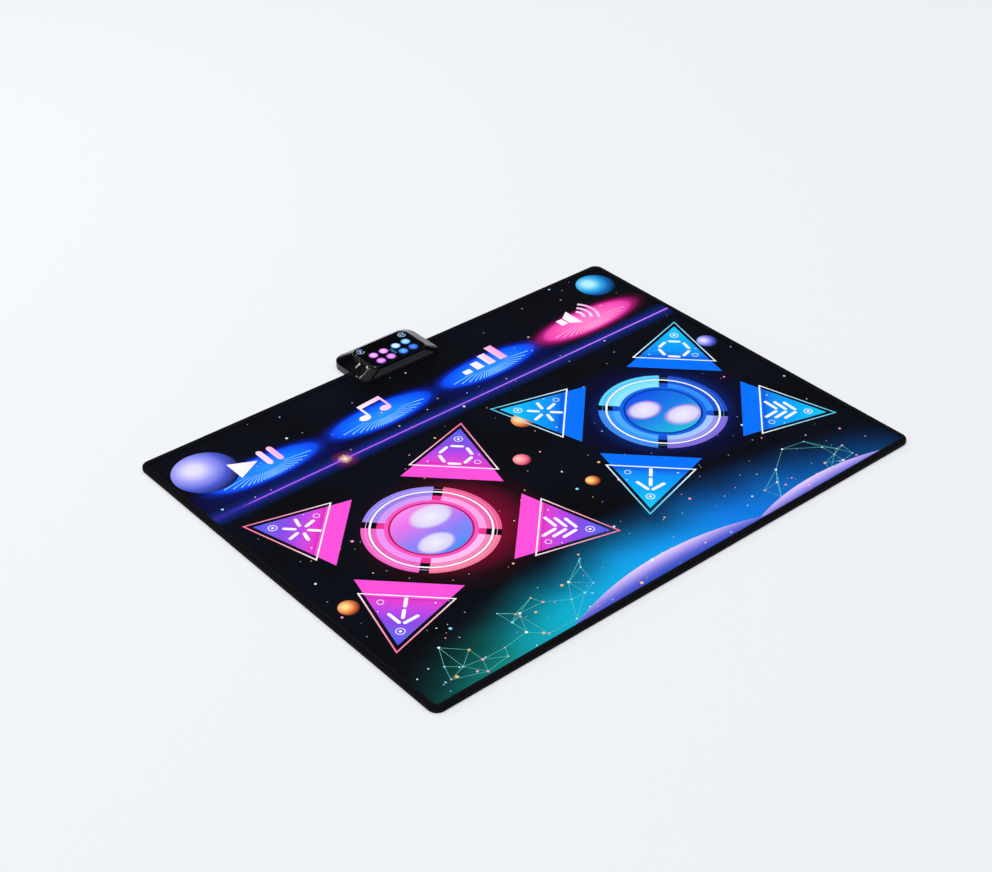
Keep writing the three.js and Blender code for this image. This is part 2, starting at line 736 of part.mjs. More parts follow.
/** The lower casing's tray: a floor on the mat, a step down behind its edge, and low walls. */
function lowerTray() {
  const plan = consoleOutline(0, 0);
  const hollow = consoleOutline(0, CONSOLE_WALL);
  const lap = solid(plate(plan, consoleBottom, splitLevel));
  const overhang = solid(plate(plan, CONSOLE_CLEARANCE_BELOW, splitLevel))
    .intersect(solid(consoleSlice(stepFront, rearReach, 0, splitLevel)));
  const lapHollow = solid(plate(hollow, consoleFloorTop, splitLevel + CUT_OVERRUN));
  const overhangHollow = solid(plate(hollow, rearFloorTop, splitLevel + CUT_OVERRUN))
    .intersect(solid(consoleSlice(stepRear, rearReach, 0, splitLevel + CUT_OVERRUN)));
  return lap.add(overhang).subtract(lapHollow).subtract(overhangHollow);
}

/** The battery bay's walls and ceiling, and the room inside them. */
function batteryBay() {
  const room = { left: bayLeft, right: bayRight, front: bayFront, rear: bayRear };
  return {
    walls: block({
      left: room.left - BAY_WALL,
      right: room.right + BAY_WALL,
      front: bayFront - BAY_WALL,
      rear: room.rear + BAY_WALL,
      bottom: rearFloorTop - CONSOLE_REAR_FLOOR / 2,
      top: bayTop,
    }),
    room: block({ ...room, bottom: 0, top: bayCeiling }),
  };
}

/** The door's plan: a plate with a thinner tongue along each side, grown by a margin. */
function doorPlates(margin, rear) {
  const front = bayFront + LAYER_GAP;
  const bottom = CONSOLE_CLEARANCE_BELOW;
  const top = bottom + DOOR_THICKNESS;
  const plateSides = { left: bayLeft - DOOR_LAP, right: bayRight + DOOR_LAP };
  return [
    block({
      left: plateSides.left - margin,
      right: plateSides.right + margin,
      front: front - margin,
      rear,
      bottom: bottom - (margin ? CUT_OVERRUN : 0),
      top: top + (margin ? LAYER_GAP : 0),
    }),
    block({
      left: plateSides.left - DOOR_TONGUE - margin,
      right: plateSides.right + DOOR_TONGUE + margin,
      front: front - margin,
      rear,
      bottom: top - DOOR_TONGUE_THICKNESS - (margin ? LAYER_GAP : 0),
      top: top + (margin ? LAYER_GAP : 0),
    }),
  ];
}

/** The lower casing, which sits on the mat and steps down behind it. */
function lowerShell() {
  const bay = batteryBay();
  const seat = consoleBottom + CASE_SCREW_SEAT;
  const casePosts = caseScrews.map(({ x, y }) => column(
    SCREW_BOSS_RADIUS,
    SCREW_BOSS_RADIUS,
    y > 0 ? CONSOLE_CLEARANCE_BELOW : consoleBottom,
    splitLevel,
    SCREW_SIDES,
  ).translate(x, y, 0));
  const boardPosts = boardScrews.map(({ x, y }) => column(
    BOARD_POST_RADIUS, BOARD_POST_RADIUS, consoleBottom, postTop, SCREW_SIDES,
  ).translate(x, y, 0));
  const clampBosses = clampScrews.map(({ x, y }) => column(
    SCREW_BOSS_RADIUS, SCREW_BOSS_RADIUS, consoleBottom, consoleFloorTop + CLAMP_BOSS_HEIGHT, SCREW_SIDES,
  ).translate(x, y, 0));
  const body = lowerTray().add(joined([bay.walls, ...casePosts, ...boardPosts, ...clampBosses]));

  const bindingRebate = consoleSlice(
    -BINDING_WIDTH - FIT_GAP, stepFront, 0, bindingTop + LAYER_GAP,
  );
  const caseHoles = caseScrews.flatMap(({ x, y }) => [
    column(SCREW_HEAD_RADIUS + FIT_GAP, SCREW_HEAD_RADIUS + FIT_GAP, 0, seat, SCREW_SIDES).translate(x, y, 0),
    column(SCREW_RADIUS + LAYER_GAP, SCREW_RADIUS + LAYER_GAP, 0, splitLevel + CUT_OVERRUN, SCREW_SIDES)
      .translate(x, y, 0),
  ]);
  const boardHoles = boardScrews.map(({ x, y }) => column(
    BOARD_SCREW_RADIUS + LAYER_GAP,
    BOARD_SCREW_RADIUS + LAYER_GAP,
    boardTop + LAYER_GAP - BOARD_SCREW_LENGTH - LAYER_GAP,
    postTop + CUT_OVERRUN,
    SCREW_SIDES,
  ).translate(x, y, 0));
  const clampHoles = clampScrews.map(({ x, y }) => column(
    SCREW_RADIUS + LAYER_GAP,
    SCREW_RADIUS + LAYER_GAP,
    0,
    clampScrewBottom + CLAMP_SCREW_LENGTH + LAYER_GAP,
    SCREW_SIDES,
  ).translate(x, y, 0));
  const ribbonHole = plate(ribbonSlot(-RIBBON_SETBACK), 0, consoleFloorTop + CUT_OVERRUN);
  const grille = Array.from({ length: GRILLE_SLOT_COUNT }, (_, slot) => {
    const x = SPEAKER_X + (slot - (GRILLE_SLOT_COUNT - 1) / 2) * GRILLE_SLOT_PITCH;
    const reach = Math.sqrt((SPEAKER_RADIUS - SPEAKER_WALL) ** 2 - (x - SPEAKER_X) ** 2) - SPEAKER_WALL;
    return block({
      left: x - GRILLE_SLOT_WIDTH / 2,
      right: x + GRILLE_SLOT_WIDTH / 2,
      front: speakerY - reach,
      rear: speakerY + reach,
      bottom: 0,
      top: rearFloorTop + CUT_OVERRUN,
    });
  });
  const switchWindow = block({
    left: SWITCH_X - SWITCH_KNOB_WIDTH / 2 - FIT_GAP,
    right: SWITCH_X + SWITCH_KNOB_WIDTH / 2 + SWITCH_TRAVEL + FIT_GAP,
    front: CONSOLE_OVERHANG - CONSOLE_WALL - CUT_OVERRUN,
    rear: rearReach,
    bottom: SWITCH_LEVEL - SWITCH_KNOB_HEIGHT / 2 - FIT_GAP,
    top: SWITCH_LEVEL + SWITCH_KNOB_HEIGHT / 2 + FIT_GAP,
  });
  const shell = cut(body, [
    bay.room, ...doorPlates(FIT_GAP, rearReach), bindingRebate, ...caseHoles, ...boardHoles, ...clampHoles,
    ribbonHole, ...grille, switchWindow,
  ]);
  return named('console_lower_shell', geometryOf(shell), finishes.mattBlack());
}

// Pieces inside the console

/** The white block that guides each light's glow to its lens. */
function lightReflector() {
  const whole = block({
    left: -reflectorHalfWidth,
    right: reflectorHalfWidth,
    front: -LIGHT_SETBACK - reflectorHalfDepth,
    rear: -LIGHT_SETBACK + reflectorHalfDepth,
    bottom: reflectorBottom,
    top: reflectorTop,
  });
  const bores = lights.map(({ x, y }) => column(
    REFLECTOR_THROAT_RADIUS,
    REFLECTOR_MOUTH_RADIUS,
    reflectorBottom - LAYER_GAP,
    reflectorTop + LAYER_GAP,
    CELL_SIDES,
  ).translate(x, y, 0));
  return named('light_reflector', geometryOf(cut(solid(whole), bores)), finishes.whitePlastic());
}

/** The circuit board with its light diodes, main chip and ribbon connector. */
function circuitBoard() {
  const diodes = lights.map(({ x, y }) => block({
    left: x - DIODE_SIDE / 2,
    right: x + DIODE_SIDE / 2,
    front: y - DIODE_SIDE / 2,
    rear: y + DIODE_SIDE / 2,
    bottom: boardBottom,
    top: boardTop + DIODE_HEIGHT,
  }));
  const chip = block({
    left: -CHIP_SIDE / 2,
    right: CHIP_SIDE / 2,
    front: BOARD_REAR_REACH - CHIP_SIDE - BOARD_POST_INSET,
    rear: BOARD_REAR_REACH - BOARD_POST_INSET,
    bottom: boardBottom,
    top: boardTop + CHIP_HEIGHT,
  });
  const connector = block({
    left: -RIBBON_WIDTH / 2 - CONNECTOR_HEIGHT,
    right: RIBBON_WIDTH / 2 + CONNECTOR_HEIGHT,
    front: -RIBBON_SETBACK - CONNECTOR_DEPTH / 2,
    rear: -RIBBON_SETBACK + CONNECTOR_DEPTH / 2,
    bottom: boardBottom - CONNECTOR_HEIGHT,
    top: boardTop,
  });
  const sheet = block({
    left: -boardHalfWidth,
    right: boardHalfWidth,
    front: boardFront,
    rear: BOARD_REAR_REACH,
    bottom: boardBottom,
    top: boardTop,
  });
  const holes = boardScrews.map(({ x, y }) => column(
    BOARD_SCREW_RADIUS + LAYER_GAP,
    BOARD_SCREW_RADIUS + LAYER_GAP,
    boardBottom - LAYER_GAP,
    boardTop + LAYER_GAP,
    SCREW_SIDES,
  ).translate(x, y, 0));
  const whole = joined([sheet, ...diodes, chip, connector]);
  return named('circuit_board', geometryOf(cut(whole, holes)), finishes.board());
}

/** The flat tail that carries the films' signals up to the board. */
function ribbonTail() {
  const geometry = block({
    left: -RIBBON_WIDTH / 2,
    right: RIBBON_WIDTH / 2,
    front: -RIBBON_SETBACK - RIBBON_THICKNESS / 2,
    rear: -RIBBON_SETBACK + RIBBON_THICKNESS / 2,
    bottom: upperFilmTop + LAYER_GAP,
    top: boardBottom - CONNECTOR_HEIGHT - LAYER_GAP,
  });
  return named('ribbon_tail', geometry, finishes.contactFilm());
}

const clampScrewBottom = BINDING_LIFT + LAYER_GAP;

/** The steel plate under the mat that the console is screwed to. */
function clampPlate() {
  const outline = centredOutline(CLAMP_WIDTH, CLAMP_DEPTH, CLAMP_CORNER_RADIUS);
  const whole = solid(plate(outline, BINDING_LIFT, BACKING_THICKNESS).translate(0, -CLAMP_SETBACK, 0));
  const seatDrop = CUT_OVERRUN * (SCREW_HEAD_HEIGHT / (SCREW_HEAD_RADIUS - SCREW_RADIUS));
  const seats = clampScrews.map(({ x, y }) => column(
    SCREW_HEAD_RADIUS + FIT_GAP + CUT_OVERRUN,
    SCREW_RADIUS + FIT_GAP,
    clampScrewBottom - seatDrop,
    clampScrewBottom + SCREW_HEAD_HEIGHT,
    SCREW_SIDES,
  ).translate(x, y, 0));
  const holes = clampScrews.map(({ x, y }) => column(
    SCREW_RADIUS + FIT_GAP, SCREW_RADIUS + FIT_GAP, 0, BACKING_THICKNESS + CUT_OVERRUN, SCREW_SIDES,
  ).translate(x, y, 0));
  return named('clamp_plate', geometryOf(cut(whole, [...seats, ...holes])), finishes.steel());
}

/** All the screws, each in its hole. */
function screws() {
  const plain = { headRadius: SCREW_HEAD_RADIUS, headHeight: SCREW_HEAD_HEIGHT, radius: SCREW_RADIUS };
  const clamps = clampScrews.map(({ side, x, y }) => {
    const geometry = screw({ ...plain, length: CLAMP_SCREW_LENGTH, countersunk: true });
    const mesh = named(`clamp_screw_${side}`, geometry, finishes.steel());
    mesh.position.set(x, y, clampScrewBottom);
    return mesh;
  });
  const cases = caseScrews.map(({ name, x, y }) => {
    const geometry = screw({ ...plain, length: SCREW_HEAD_HEIGHT + CASE_SCREW_LENGTH });
    const mesh = named(`case_screw_${name}`, geometry, finishes.steel());
    mesh.position.set(x, y, caseScrewHeadBottom);
    return mesh;
  });
  const boards = boardScrews.map(({ name, x, y }) => {
    const geometry = screw({
      headRadius: BOARD_SCREW_HEAD_RADIUS,
      headHeight: BOARD_SCREW_HEAD_HEIGHT,
      radius: BOARD_SCREW_RADIUS,
      length: BOARD_SCREW_HEAD_HEIGHT + BOARD_SCREW_LENGTH,
    });
    const mesh = named(`board_screw_${name}`, geometry, finishes.steel());
    mesh.position.set(x, y, boardTop + LAYER_GAP + BOARD_SCREW_HEAD_HEIGHT);
    mesh.rotation.x = Math.PI;
    return mesh;
  });
  return [...clamps, ...cases, ...boards];
}

/** The three cells, the middle one turned the other way. */
function batteryCells() {
  const profile = [
    [0, 0],
    [CELL_RADIUS, 0],
    [CELL_RADIUS, CELL_LENGTH],
    [CELL_NUB_RADIUS, CELL_LENGTH],
    [CELL_NUB_RADIUS, cellsLong],
    [0, cellsLong],
  ];
  return ['front', 'middle', 'rear'].map((place, index) => {
    const facing = index === 1 ? -1 : 1;
    const cell = named(`battery_cell_${place}`, turned(profile, CELL_SIDES), finishes.cellWrap());
    const y = bayFront + FIT_GAP + CELL_RADIUS + index * cellPitch;
    cell.position.set(BAY_X - facing * (cellsLong / 2), y, cellLevel);
    cell.rotation.y = facing * (Math.PI / 2);
    return cell;
  });
}

/** The contact strips at the two ends of the cells, with a spring cone for each cell. */
function batteryContacts() {
  const ends = [{ side: 'left', x: bayLeft, facing: 1 }, { side: 'right', x: bayRight, facing: -1 }];
  return ends.map(({ side, x, facing }) => {
    const back = x + facing * LAYER_GAP;
    const face = back + facing * CONTACT_THICKNESS;
    const strip = block({
      left: Math.min(back, face),
      right: Math.max(back, face),
      front: bayFront + FIT_GAP + CELL_RADIUS - CONTACT_SPRING_RADIUS,
      rear: bayFront + FIT_GAP + CELL_RADIUS + 2 * cellPitch + CONTACT_SPRING_RADIUS,
      bottom: cellLevel - CONTACT_HEIGHT / 2,
      top: cellLevel + CONTACT_HEIGHT / 2,
    });
    const springs = [0, 1, 2].map((index) => column(
      CONTACT_SPRING_RADIUS,
      CONTACT_SPRING_RADIUS / 2,
      0,
      CONTACT_THICKNESS + CONTACT_SPRING_LENGTH,
      SCREW_SIDES,
    )
      .rotateY(facing * (Math.PI / 2))
      .translate(back, bayFront + FIT_GAP + CELL_RADIUS + index * cellPitch, cellLevel));
    return named(`battery_contact_${side}`, geometryOf(joined([strip, ...springs])), finishes.brass());
  });
}

/** The door that slides out to the rear, with ridges for the thumb. */
function batteryDoor() {
  const rear = CONSOLE_OVERHANG - LAYER_GAP;
  const ridges = Array.from({ length: DOOR_RIDGE_COUNT }, (_, ridge) => {
    const y = rear - (ridge + 1) * DOOR_RIDGE_PITCH;
    return block({
      left: BAY_X - DOOR_RIDGE_WIDTH / 2,
      right: BAY_X + DOOR_RIDGE_WIDTH / 2,
      front: y - DOOR_RIDGE_DEPTH / 2,
      rear: y + DOOR_RIDGE_DEPTH / 2,
      bottom: CONSOLE_CLEARANCE_BELOW - DOOR_RIDGE_HEIGHT,
      top: CONSOLE_CLEARANCE_BELOW + DOOR_RIDGE_HEIGHT,
    });
  });
  const whole = joined([...doorPlates(0, rear), ...ridges]);
  return named('battery_door', geometryOf(whole), finishes.mattBlack());
}

/** The speaker's frame with its magnet, and the cone inside it. */
function speaker() {
  const mouth = SPEAKER_RADIUS - SPEAKER_WALL;
  const throat = SPEAKER_MAGNET_RADIUS - SPEAKER_WALL;
  const frameProfile = [
    [SPEAKER_RADIUS, 0],
    [SPEAKER_RADIUS, SPEAKER_RIM_HEIGHT],
    [SPEAKER_MAGNET_RADIUS, SPEAKER_BASKET_HEIGHT],
    [SPEAKER_MAGNET_RADIUS, SPEAKER_BASKET_HEIGHT + SPEAKER_MAGNET_HEIGHT],
    [0, SPEAKER_BASKET_HEIGHT + SPEAKER_MAGNET_HEIGHT],
    [0, SPEAKER_BASKET_HEIGHT],
    [throat, SPEAKER_BASKET_HEIGHT],
    [throat, SPEAKER_BASKET_HEIGHT - SPEAKER_WALL],
    [mouth, SPEAKER_RIM_HEIGHT - SPEAKER_WALL],
    [mouth, 0],
  ];
  const coneTop = SPEAKER_BASKET_HEIGHT - SPEAKER_WALL - CONE_THICKNESS;
  const coneThroat = throat - FIT_GAP;
  const coneMouth = mouth - FIT_GAP;
  const coneProfile = [
    [0, coneTop - CONE_THICKNESS],
    [coneThroat - CONE_THICKNESS, coneTop - CONE_THICKNESS],
    [coneMouth - CONE_THICKNESS, 0],
    [coneMouth, 0],
    [coneThroat, coneTop],
    [0, coneTop],
  ];
  const frameShape = turned([...frameProfile, frameProfile[0]], SPEAKER_SIDES);
  const frame = named('speaker_frame', frameShape, finishes.steel());
  const cone = named('speaker_cone', turned(coneProfile, SPEAKER_SIDES), finishes.paper());
  for (const piece of [frame, cone]) {
    piece.position.set(SPEAKER_X, speakerY, rearFloorTop + LAYER_GAP);
  }
  return [frame, cone];
}

/** The power switch's body behind the rear wall and its sliding knob. */
function powerSwitch() {
  const bodyRear = CONSOLE_OVERHANG - CONSOLE_WALL - LAYER_GAP;
  const centre = SWITCH_X + SWITCH_TRAVEL / 2;
  const body = block({
    left: centre - SWITCH_BODY_WIDTH / 2,
    right: centre + SWITCH_BODY_WIDTH / 2,
    front: bodyRear - SWITCH_BODY_DEPTH,
    rear: bodyRear,
    bottom: SWITCH_LEVEL - SWITCH_BODY_HEIGHT / 2,
    top: SWITCH_LEVEL + SWITCH_BODY_HEIGHT / 2,
  });
  const knob = block({
    left: SWITCH_X - SWITCH_KNOB_WIDTH / 2,
    right: SWITCH_X + SWITCH_KNOB_WIDTH / 2,
    front: bodyRear + LAYER_GAP,
    rear: CONSOLE_OVERHANG + SWITCH_KNOB_PROUD,
    bottom: SWITCH_LEVEL - SWITCH_KNOB_HEIGHT / 2,
    top: SWITCH_LEVEL + SWITCH_KNOB_HEIGHT / 2,
  });
  return [
    named('power_switch_body', body, finishes.whitePlastic()),
    named('power_switch_knob', knob, finishes.mattBlack()),
  ];
}

/** The rubber feet that carry the console's overhang. */
function rearFeet() {
  const footX = consoleHalfWidth - FOOT_INSET;
  return [{ side: 'left', x: -footX }, { side: 'right', x: footX }].map(({ side, x }) => {
    const geometry = column(FOOT_RADIUS, FOOT_RADIUS, 0, CONSOLE_CLEARANCE_BELOW - LAYER_GAP, CELL_SIDES);
    const foot = named(`rear_foot_${side}`, geometry, finishes.rubber());
    foot.position.set(x, CONSOLE_OVERHANG - FOOT_REAR_INSET, 0);
    return foot;
  });
}

// The whole mat

const danceMat = new THREE.Group();
danceMat.add(
  topSheet(), upperFilm(), spacerFoam(), lowerFilm(), cushionFoam(), antiSlipBacking(), edgeBinding(), ...pads(),
);

const consoleGroup = new THREE.Group();
consoleGroup.position.y = matDepth / 2;
consoleGroup.add(
  lowerShell(),
  upperShell(),
  ...lights.map(({ name, x, y, material }) => {
    const light = named(name, lens(), material());
    light.position.set(x, y, 0);
    return light;
  }),
  lightReflector(),
  circuitBoard(),
  ribbonTail(),
  clampPlate(),
  ...screws(),
  ...batteryCells(),
  ...batteryContacts(),
  batteryDoor(),
  ...speaker(),
  ...powerSwitch(),
  ...rearFeet(),
);
danceMat.add(consoleGroup);

export default danceMat;
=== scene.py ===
"""Looks of a two-player electronic dance mat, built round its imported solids.

Plane points are complex numbers, x + yj, and every length is in millimetres until a mesh is
made. X runs along the mat's long edges, Y towards the console and Z up. Only the studio is
measured in metres.
"""

import cmath
import json
import logging
import math
import random
from collections.abc import Callable, Mapping, Sequence
from dataclasses import astuple, dataclass, field
from enum import Enum

import bpy
from mathutils import Matrix, Vector
from mathutils.geometry import delaunay_2d_cdt

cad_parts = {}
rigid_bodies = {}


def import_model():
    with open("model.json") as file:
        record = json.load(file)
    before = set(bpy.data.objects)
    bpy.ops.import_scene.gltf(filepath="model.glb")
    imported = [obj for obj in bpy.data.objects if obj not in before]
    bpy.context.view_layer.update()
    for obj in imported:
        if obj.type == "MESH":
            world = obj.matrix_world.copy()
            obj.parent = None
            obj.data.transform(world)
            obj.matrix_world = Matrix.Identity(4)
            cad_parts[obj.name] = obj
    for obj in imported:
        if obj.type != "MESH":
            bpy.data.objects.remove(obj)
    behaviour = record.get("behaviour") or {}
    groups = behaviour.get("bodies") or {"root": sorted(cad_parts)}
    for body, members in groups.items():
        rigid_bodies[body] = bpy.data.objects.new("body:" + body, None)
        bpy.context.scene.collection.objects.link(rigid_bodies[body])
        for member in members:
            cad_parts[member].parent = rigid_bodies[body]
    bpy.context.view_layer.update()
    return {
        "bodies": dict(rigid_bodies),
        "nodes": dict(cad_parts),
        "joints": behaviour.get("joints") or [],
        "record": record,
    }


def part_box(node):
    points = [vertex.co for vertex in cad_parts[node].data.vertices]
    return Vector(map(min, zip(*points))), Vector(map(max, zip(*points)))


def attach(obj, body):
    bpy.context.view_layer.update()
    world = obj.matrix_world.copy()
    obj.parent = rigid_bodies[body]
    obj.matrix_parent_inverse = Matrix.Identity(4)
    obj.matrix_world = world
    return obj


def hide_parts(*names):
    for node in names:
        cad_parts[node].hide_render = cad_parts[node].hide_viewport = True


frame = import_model()

log = logging.getLogger("dance_mat")

Tree = bpy.types.NodeTree
Node = bpy.types.Node
Socket = bpy.types.NodeSocket
Piece = bpy.types.Object
Inputs = Mapping[str | int, object]
Outline = list[complex]
Spot = tuple[float, float, float]
Colour = tuple[float, float, float, float]
Stops = tuple[tuple[float, str], ...]
Hues = tuple[str, str, str, str]

MM = 0.001
BODY = "mat"


def linear(code: str) -> Colour:
    """Turns an sRGB hex colour to linear.

    Args:
        code: The colour as #rrggbb.

    Returns:
        Linear red, green and blue with an alpha of 1.
    """
    shares = [int(code[at:at + 2], 16) / 255 for at in (1, 3, 5)]
    red, green, blue = (
        share / 12.92 if share <= 0.04045 else ((share + 0.055) / 1.055) ** 2.4
        for share in shares
    )
    return red, green, blue, 1.0


def toned(code: str, share: float) -> Colour:
    """Returns a hex colour's linear value, darker or lighter by a share."""
    red, green, blue, alpha = linear(code)
    return share * red, share * green, share * blue, alpha


def connect(tree: Tree, node: Node, inputs: Inputs) -> None:
    """Sets or links a node's inputs.

    Args:
        tree: The material's node tree.
        node: The node that is fed.
        inputs: For each input, by name or number, a plain value, a node or an output socket.
            A node gives its first output.
    """
    for key, given in inputs.items():
        if isinstance(given, Node):
            given = given.outputs[0]
        if isinstance(given, Socket):
            tree.links.new(given, node.inputs[key])
        else:
            node.inputs[key].default_value = given


def add_node(
    tree: Tree, kind: str, inputs: Inputs | None = None, stops: Stops = (), **settings: object
) -> Node:
    """Adds one shader node with its settings and links.

    Args:
        tree: The material's node tree.
        kind: The node's type, less its ShaderNode prefix.
        inputs: What its inputs get, as connect takes it.
        stops: Places and hex colours of a colour ramp.
        settings: The node's own options.

    Returns:
        The new node.
    """
    node = tree.nodes.new(f"ShaderNode{kind}")
    for option, choice in settings.items():
        setattr(node, option, choice)
    connect(tree, node, inputs or {})
    for index, (place, code) in enumerate(stops):
        elements = node.color_ramp.elements
        stop = elements[index] if index < 2 else elements.new(place)
        stop.position = place
        stop.color = linear(code)
    return node


# Outlines


def circle(centre: complex, radius: float, steps: int = 24) -> Outline:
    """Returns a circle as points."""
    return [centre + cmath.rect(radius, math.tau * step / steps) for step in range(steps)]


def arc(centre: complex, radius: float, start: float, end: float, steps: int) -> Outline:
    """Returns an arc as points.

    Args:
        centre: The arc's middle.
        radius: Its radius.
        start: The angle of its first point, in degrees.
        end: The angle of its last point, in degrees.
        steps: How many parts it is cut into.

    Returns:
        The points, with both ends.
    """
    span = end - start
    return [
        centre + cmath.rect(radius, math.radians(start + span * step / steps))
        for step in range(steps + 1)
    ]


def ring_part(centre: complex, inner: float, outer: float, start: float, end: float) -> Outline:
    """Returns a part of a flat ring, in steps of about 5 degrees.

    Args:
        centre: The ring's middle.
        inner: Its inner radius.
        outer: Its outer radius.
        start: The part's first angle, in degrees.
        end: Its last angle, in degrees.

    Returns:
        The outline, anticlockwise.
    """
    steps = max(2, round(abs(end - start) / 5))
    return arc(centre, outer, start, end, steps) + arc(centre, inner, end, start, steps)


def stroke(line: Sequence[complex], width: float, cap_steps: int = 4) -> Outline:
    """Returns the outline of a line drawn with a round pen.

    Args:
        line: The points that the pen follows.
        width: The pen's width.
        cap_steps: How finely each round end is cut, or 1 for square ends.

    Returns:
        The outline, anticlockwise.
    """
    last = len(line) - 1
    sides: list[complex] = []
    for index in range(len(line)):
        along = line[min(index + 1, last)] - line[max(index - 1, 0)]
        sides.append(along / abs(along) * 1j * width / 2)
    left = [point + side for point, side in zip(line, sides)]
    right = [point - side for point, side in zip(line, sides)]
    turn = math.pi / cap_steps
    tip, tail = (
        [point + side * cmath.rect(1, turn * step) for step in range(1, cap_steps)]
        for point, side in ((line[-1], -sides[-1]), (line[0], sides[0]))
    )
    return right + tip + left[::-1] + tail


@dataclass(frozen=True)
class Oblong:
    """A rectangle with round corners, by its sides and its front and rear corner radii."""

    left: float
    right: float
    front: float
    rear: float
    front_radius: float
    rear_radius: float

    def outline(self, inset: float = 0, steps: int = 12) -> Outline:
        """Returns the rectangle's outline.

        Args:
            inset: How far it is drawn in, or out where it is negative.
            steps: How many parts each corner is cut into.

        Returns:
            The points, anticlockwise from the front right corner.
        """
        near, far = self.front_radius - inset, self.rear_radius - inset
        left, right = self.left + inset, self.right - inset
        front, rear = self.front + inset, self.rear - inset
        return (
            arc(complex(right - near, front + near), near, -90, 0, steps)
            + arc(complex(right - far, rear - far), far, 0, 90, steps)
            + arc(complex(left + far, rear - far), far, 90, 180, steps)
            + arc(complex(left + near, front + near), near, 180, 270, steps)
        )


def sides_of(outline: Outline) -> list[tuple[complex, complex]]:
    """Returns the two ends of each side of a closed outline."""
    return list(zip(outline, outline[1:] + outline[:1]))


def length_of(outline: Outline) -> float:
    """Returns the length round a closed outline."""
    return sum(abs(end - start) for start, end in sides_of(outline))


def divided(outline: Outline, pitch: float) -> Outline:
    """Cuts the long sides of a closed outline into equal parts.

    Args:
        outline: The outline.
        pitch: The greatest length that a part may have.

    Returns:
        The outline with the added points.
    """
    points: Outline = []
    for start, end in sides_of(outline):
        parts = max(1, math.ceil(abs(end - start) / pitch))
        points.extend(start + (end - start) * part / parts for part in range(parts))
    return points


def spaced(outline: Outline, count: int) -> Outline:
    """Walks round a closed outline in even steps.

    Args:
        outline: The outline.
        count: How many points the walk has.

    Returns:
        The evenly spaced points.
    """
    pitch = length_of(outline) / count
    points: Outline = []
    walked = 0.0
    for start, end in sides_of(outline):
        side = abs(end - start)
        while len(points) < count and len(points) * pitch < walked + side:
            points.append(start + (end - start) * (len(points) * pitch - walked) / side)
        walked += side
    return points


# Finishes


@dataclass(frozen=True)
class Finish:
    """A surface finish, made into a Blender material when it is first asked for."""

    name: str

    def dress(self, tree: Tree, surface: Node) -> None:
        """Sets the surface's sockets and adds the finish's own nodes."""
        raise NotImplementedError

    def material(self) -> bpy.types.Material:
        """Makes the finish's material, or finds it where it is made already.

        Returns:
            The material.
        """
        made = bpy.data.materials.get(self.name)
        if made is None:
            made = bpy.data.materials.new(self.name)
            made.use_nodes = True
            self.dress(made.node_tree, made.node_tree.nodes["Principled BSDF"])
        return made


def millimetres(tree: Tree) -> Node:
    """Returns a node that gives a point's place on the object, in millimetres."""
    place = add_node(tree, "TexCoord").outputs["Object"]
    return add_node(tree, "VectorMath", {0: place, "Scale": 1 / MM}, operation="SCALE")


def band_scale(pitch: float) -> float:
    """Returns the scale at which Blender's bands, a twentieth of a turn, repeat at a pitch."""
    return math.tau / 20 / pitch


class Blend(Enum):
    """The way that a printed blend runs in its figure's own axes."""

    ACROSS = "X"
    ALONG = "Y"
    ROUND = "round"


@dataclass(frozen=True)
class Glow:
    """A soft oval patch of print, by its centre, its half sizes and its ramp from rim to heart."""

    centre: complex
    across: float
    along: float
    stops: Stops


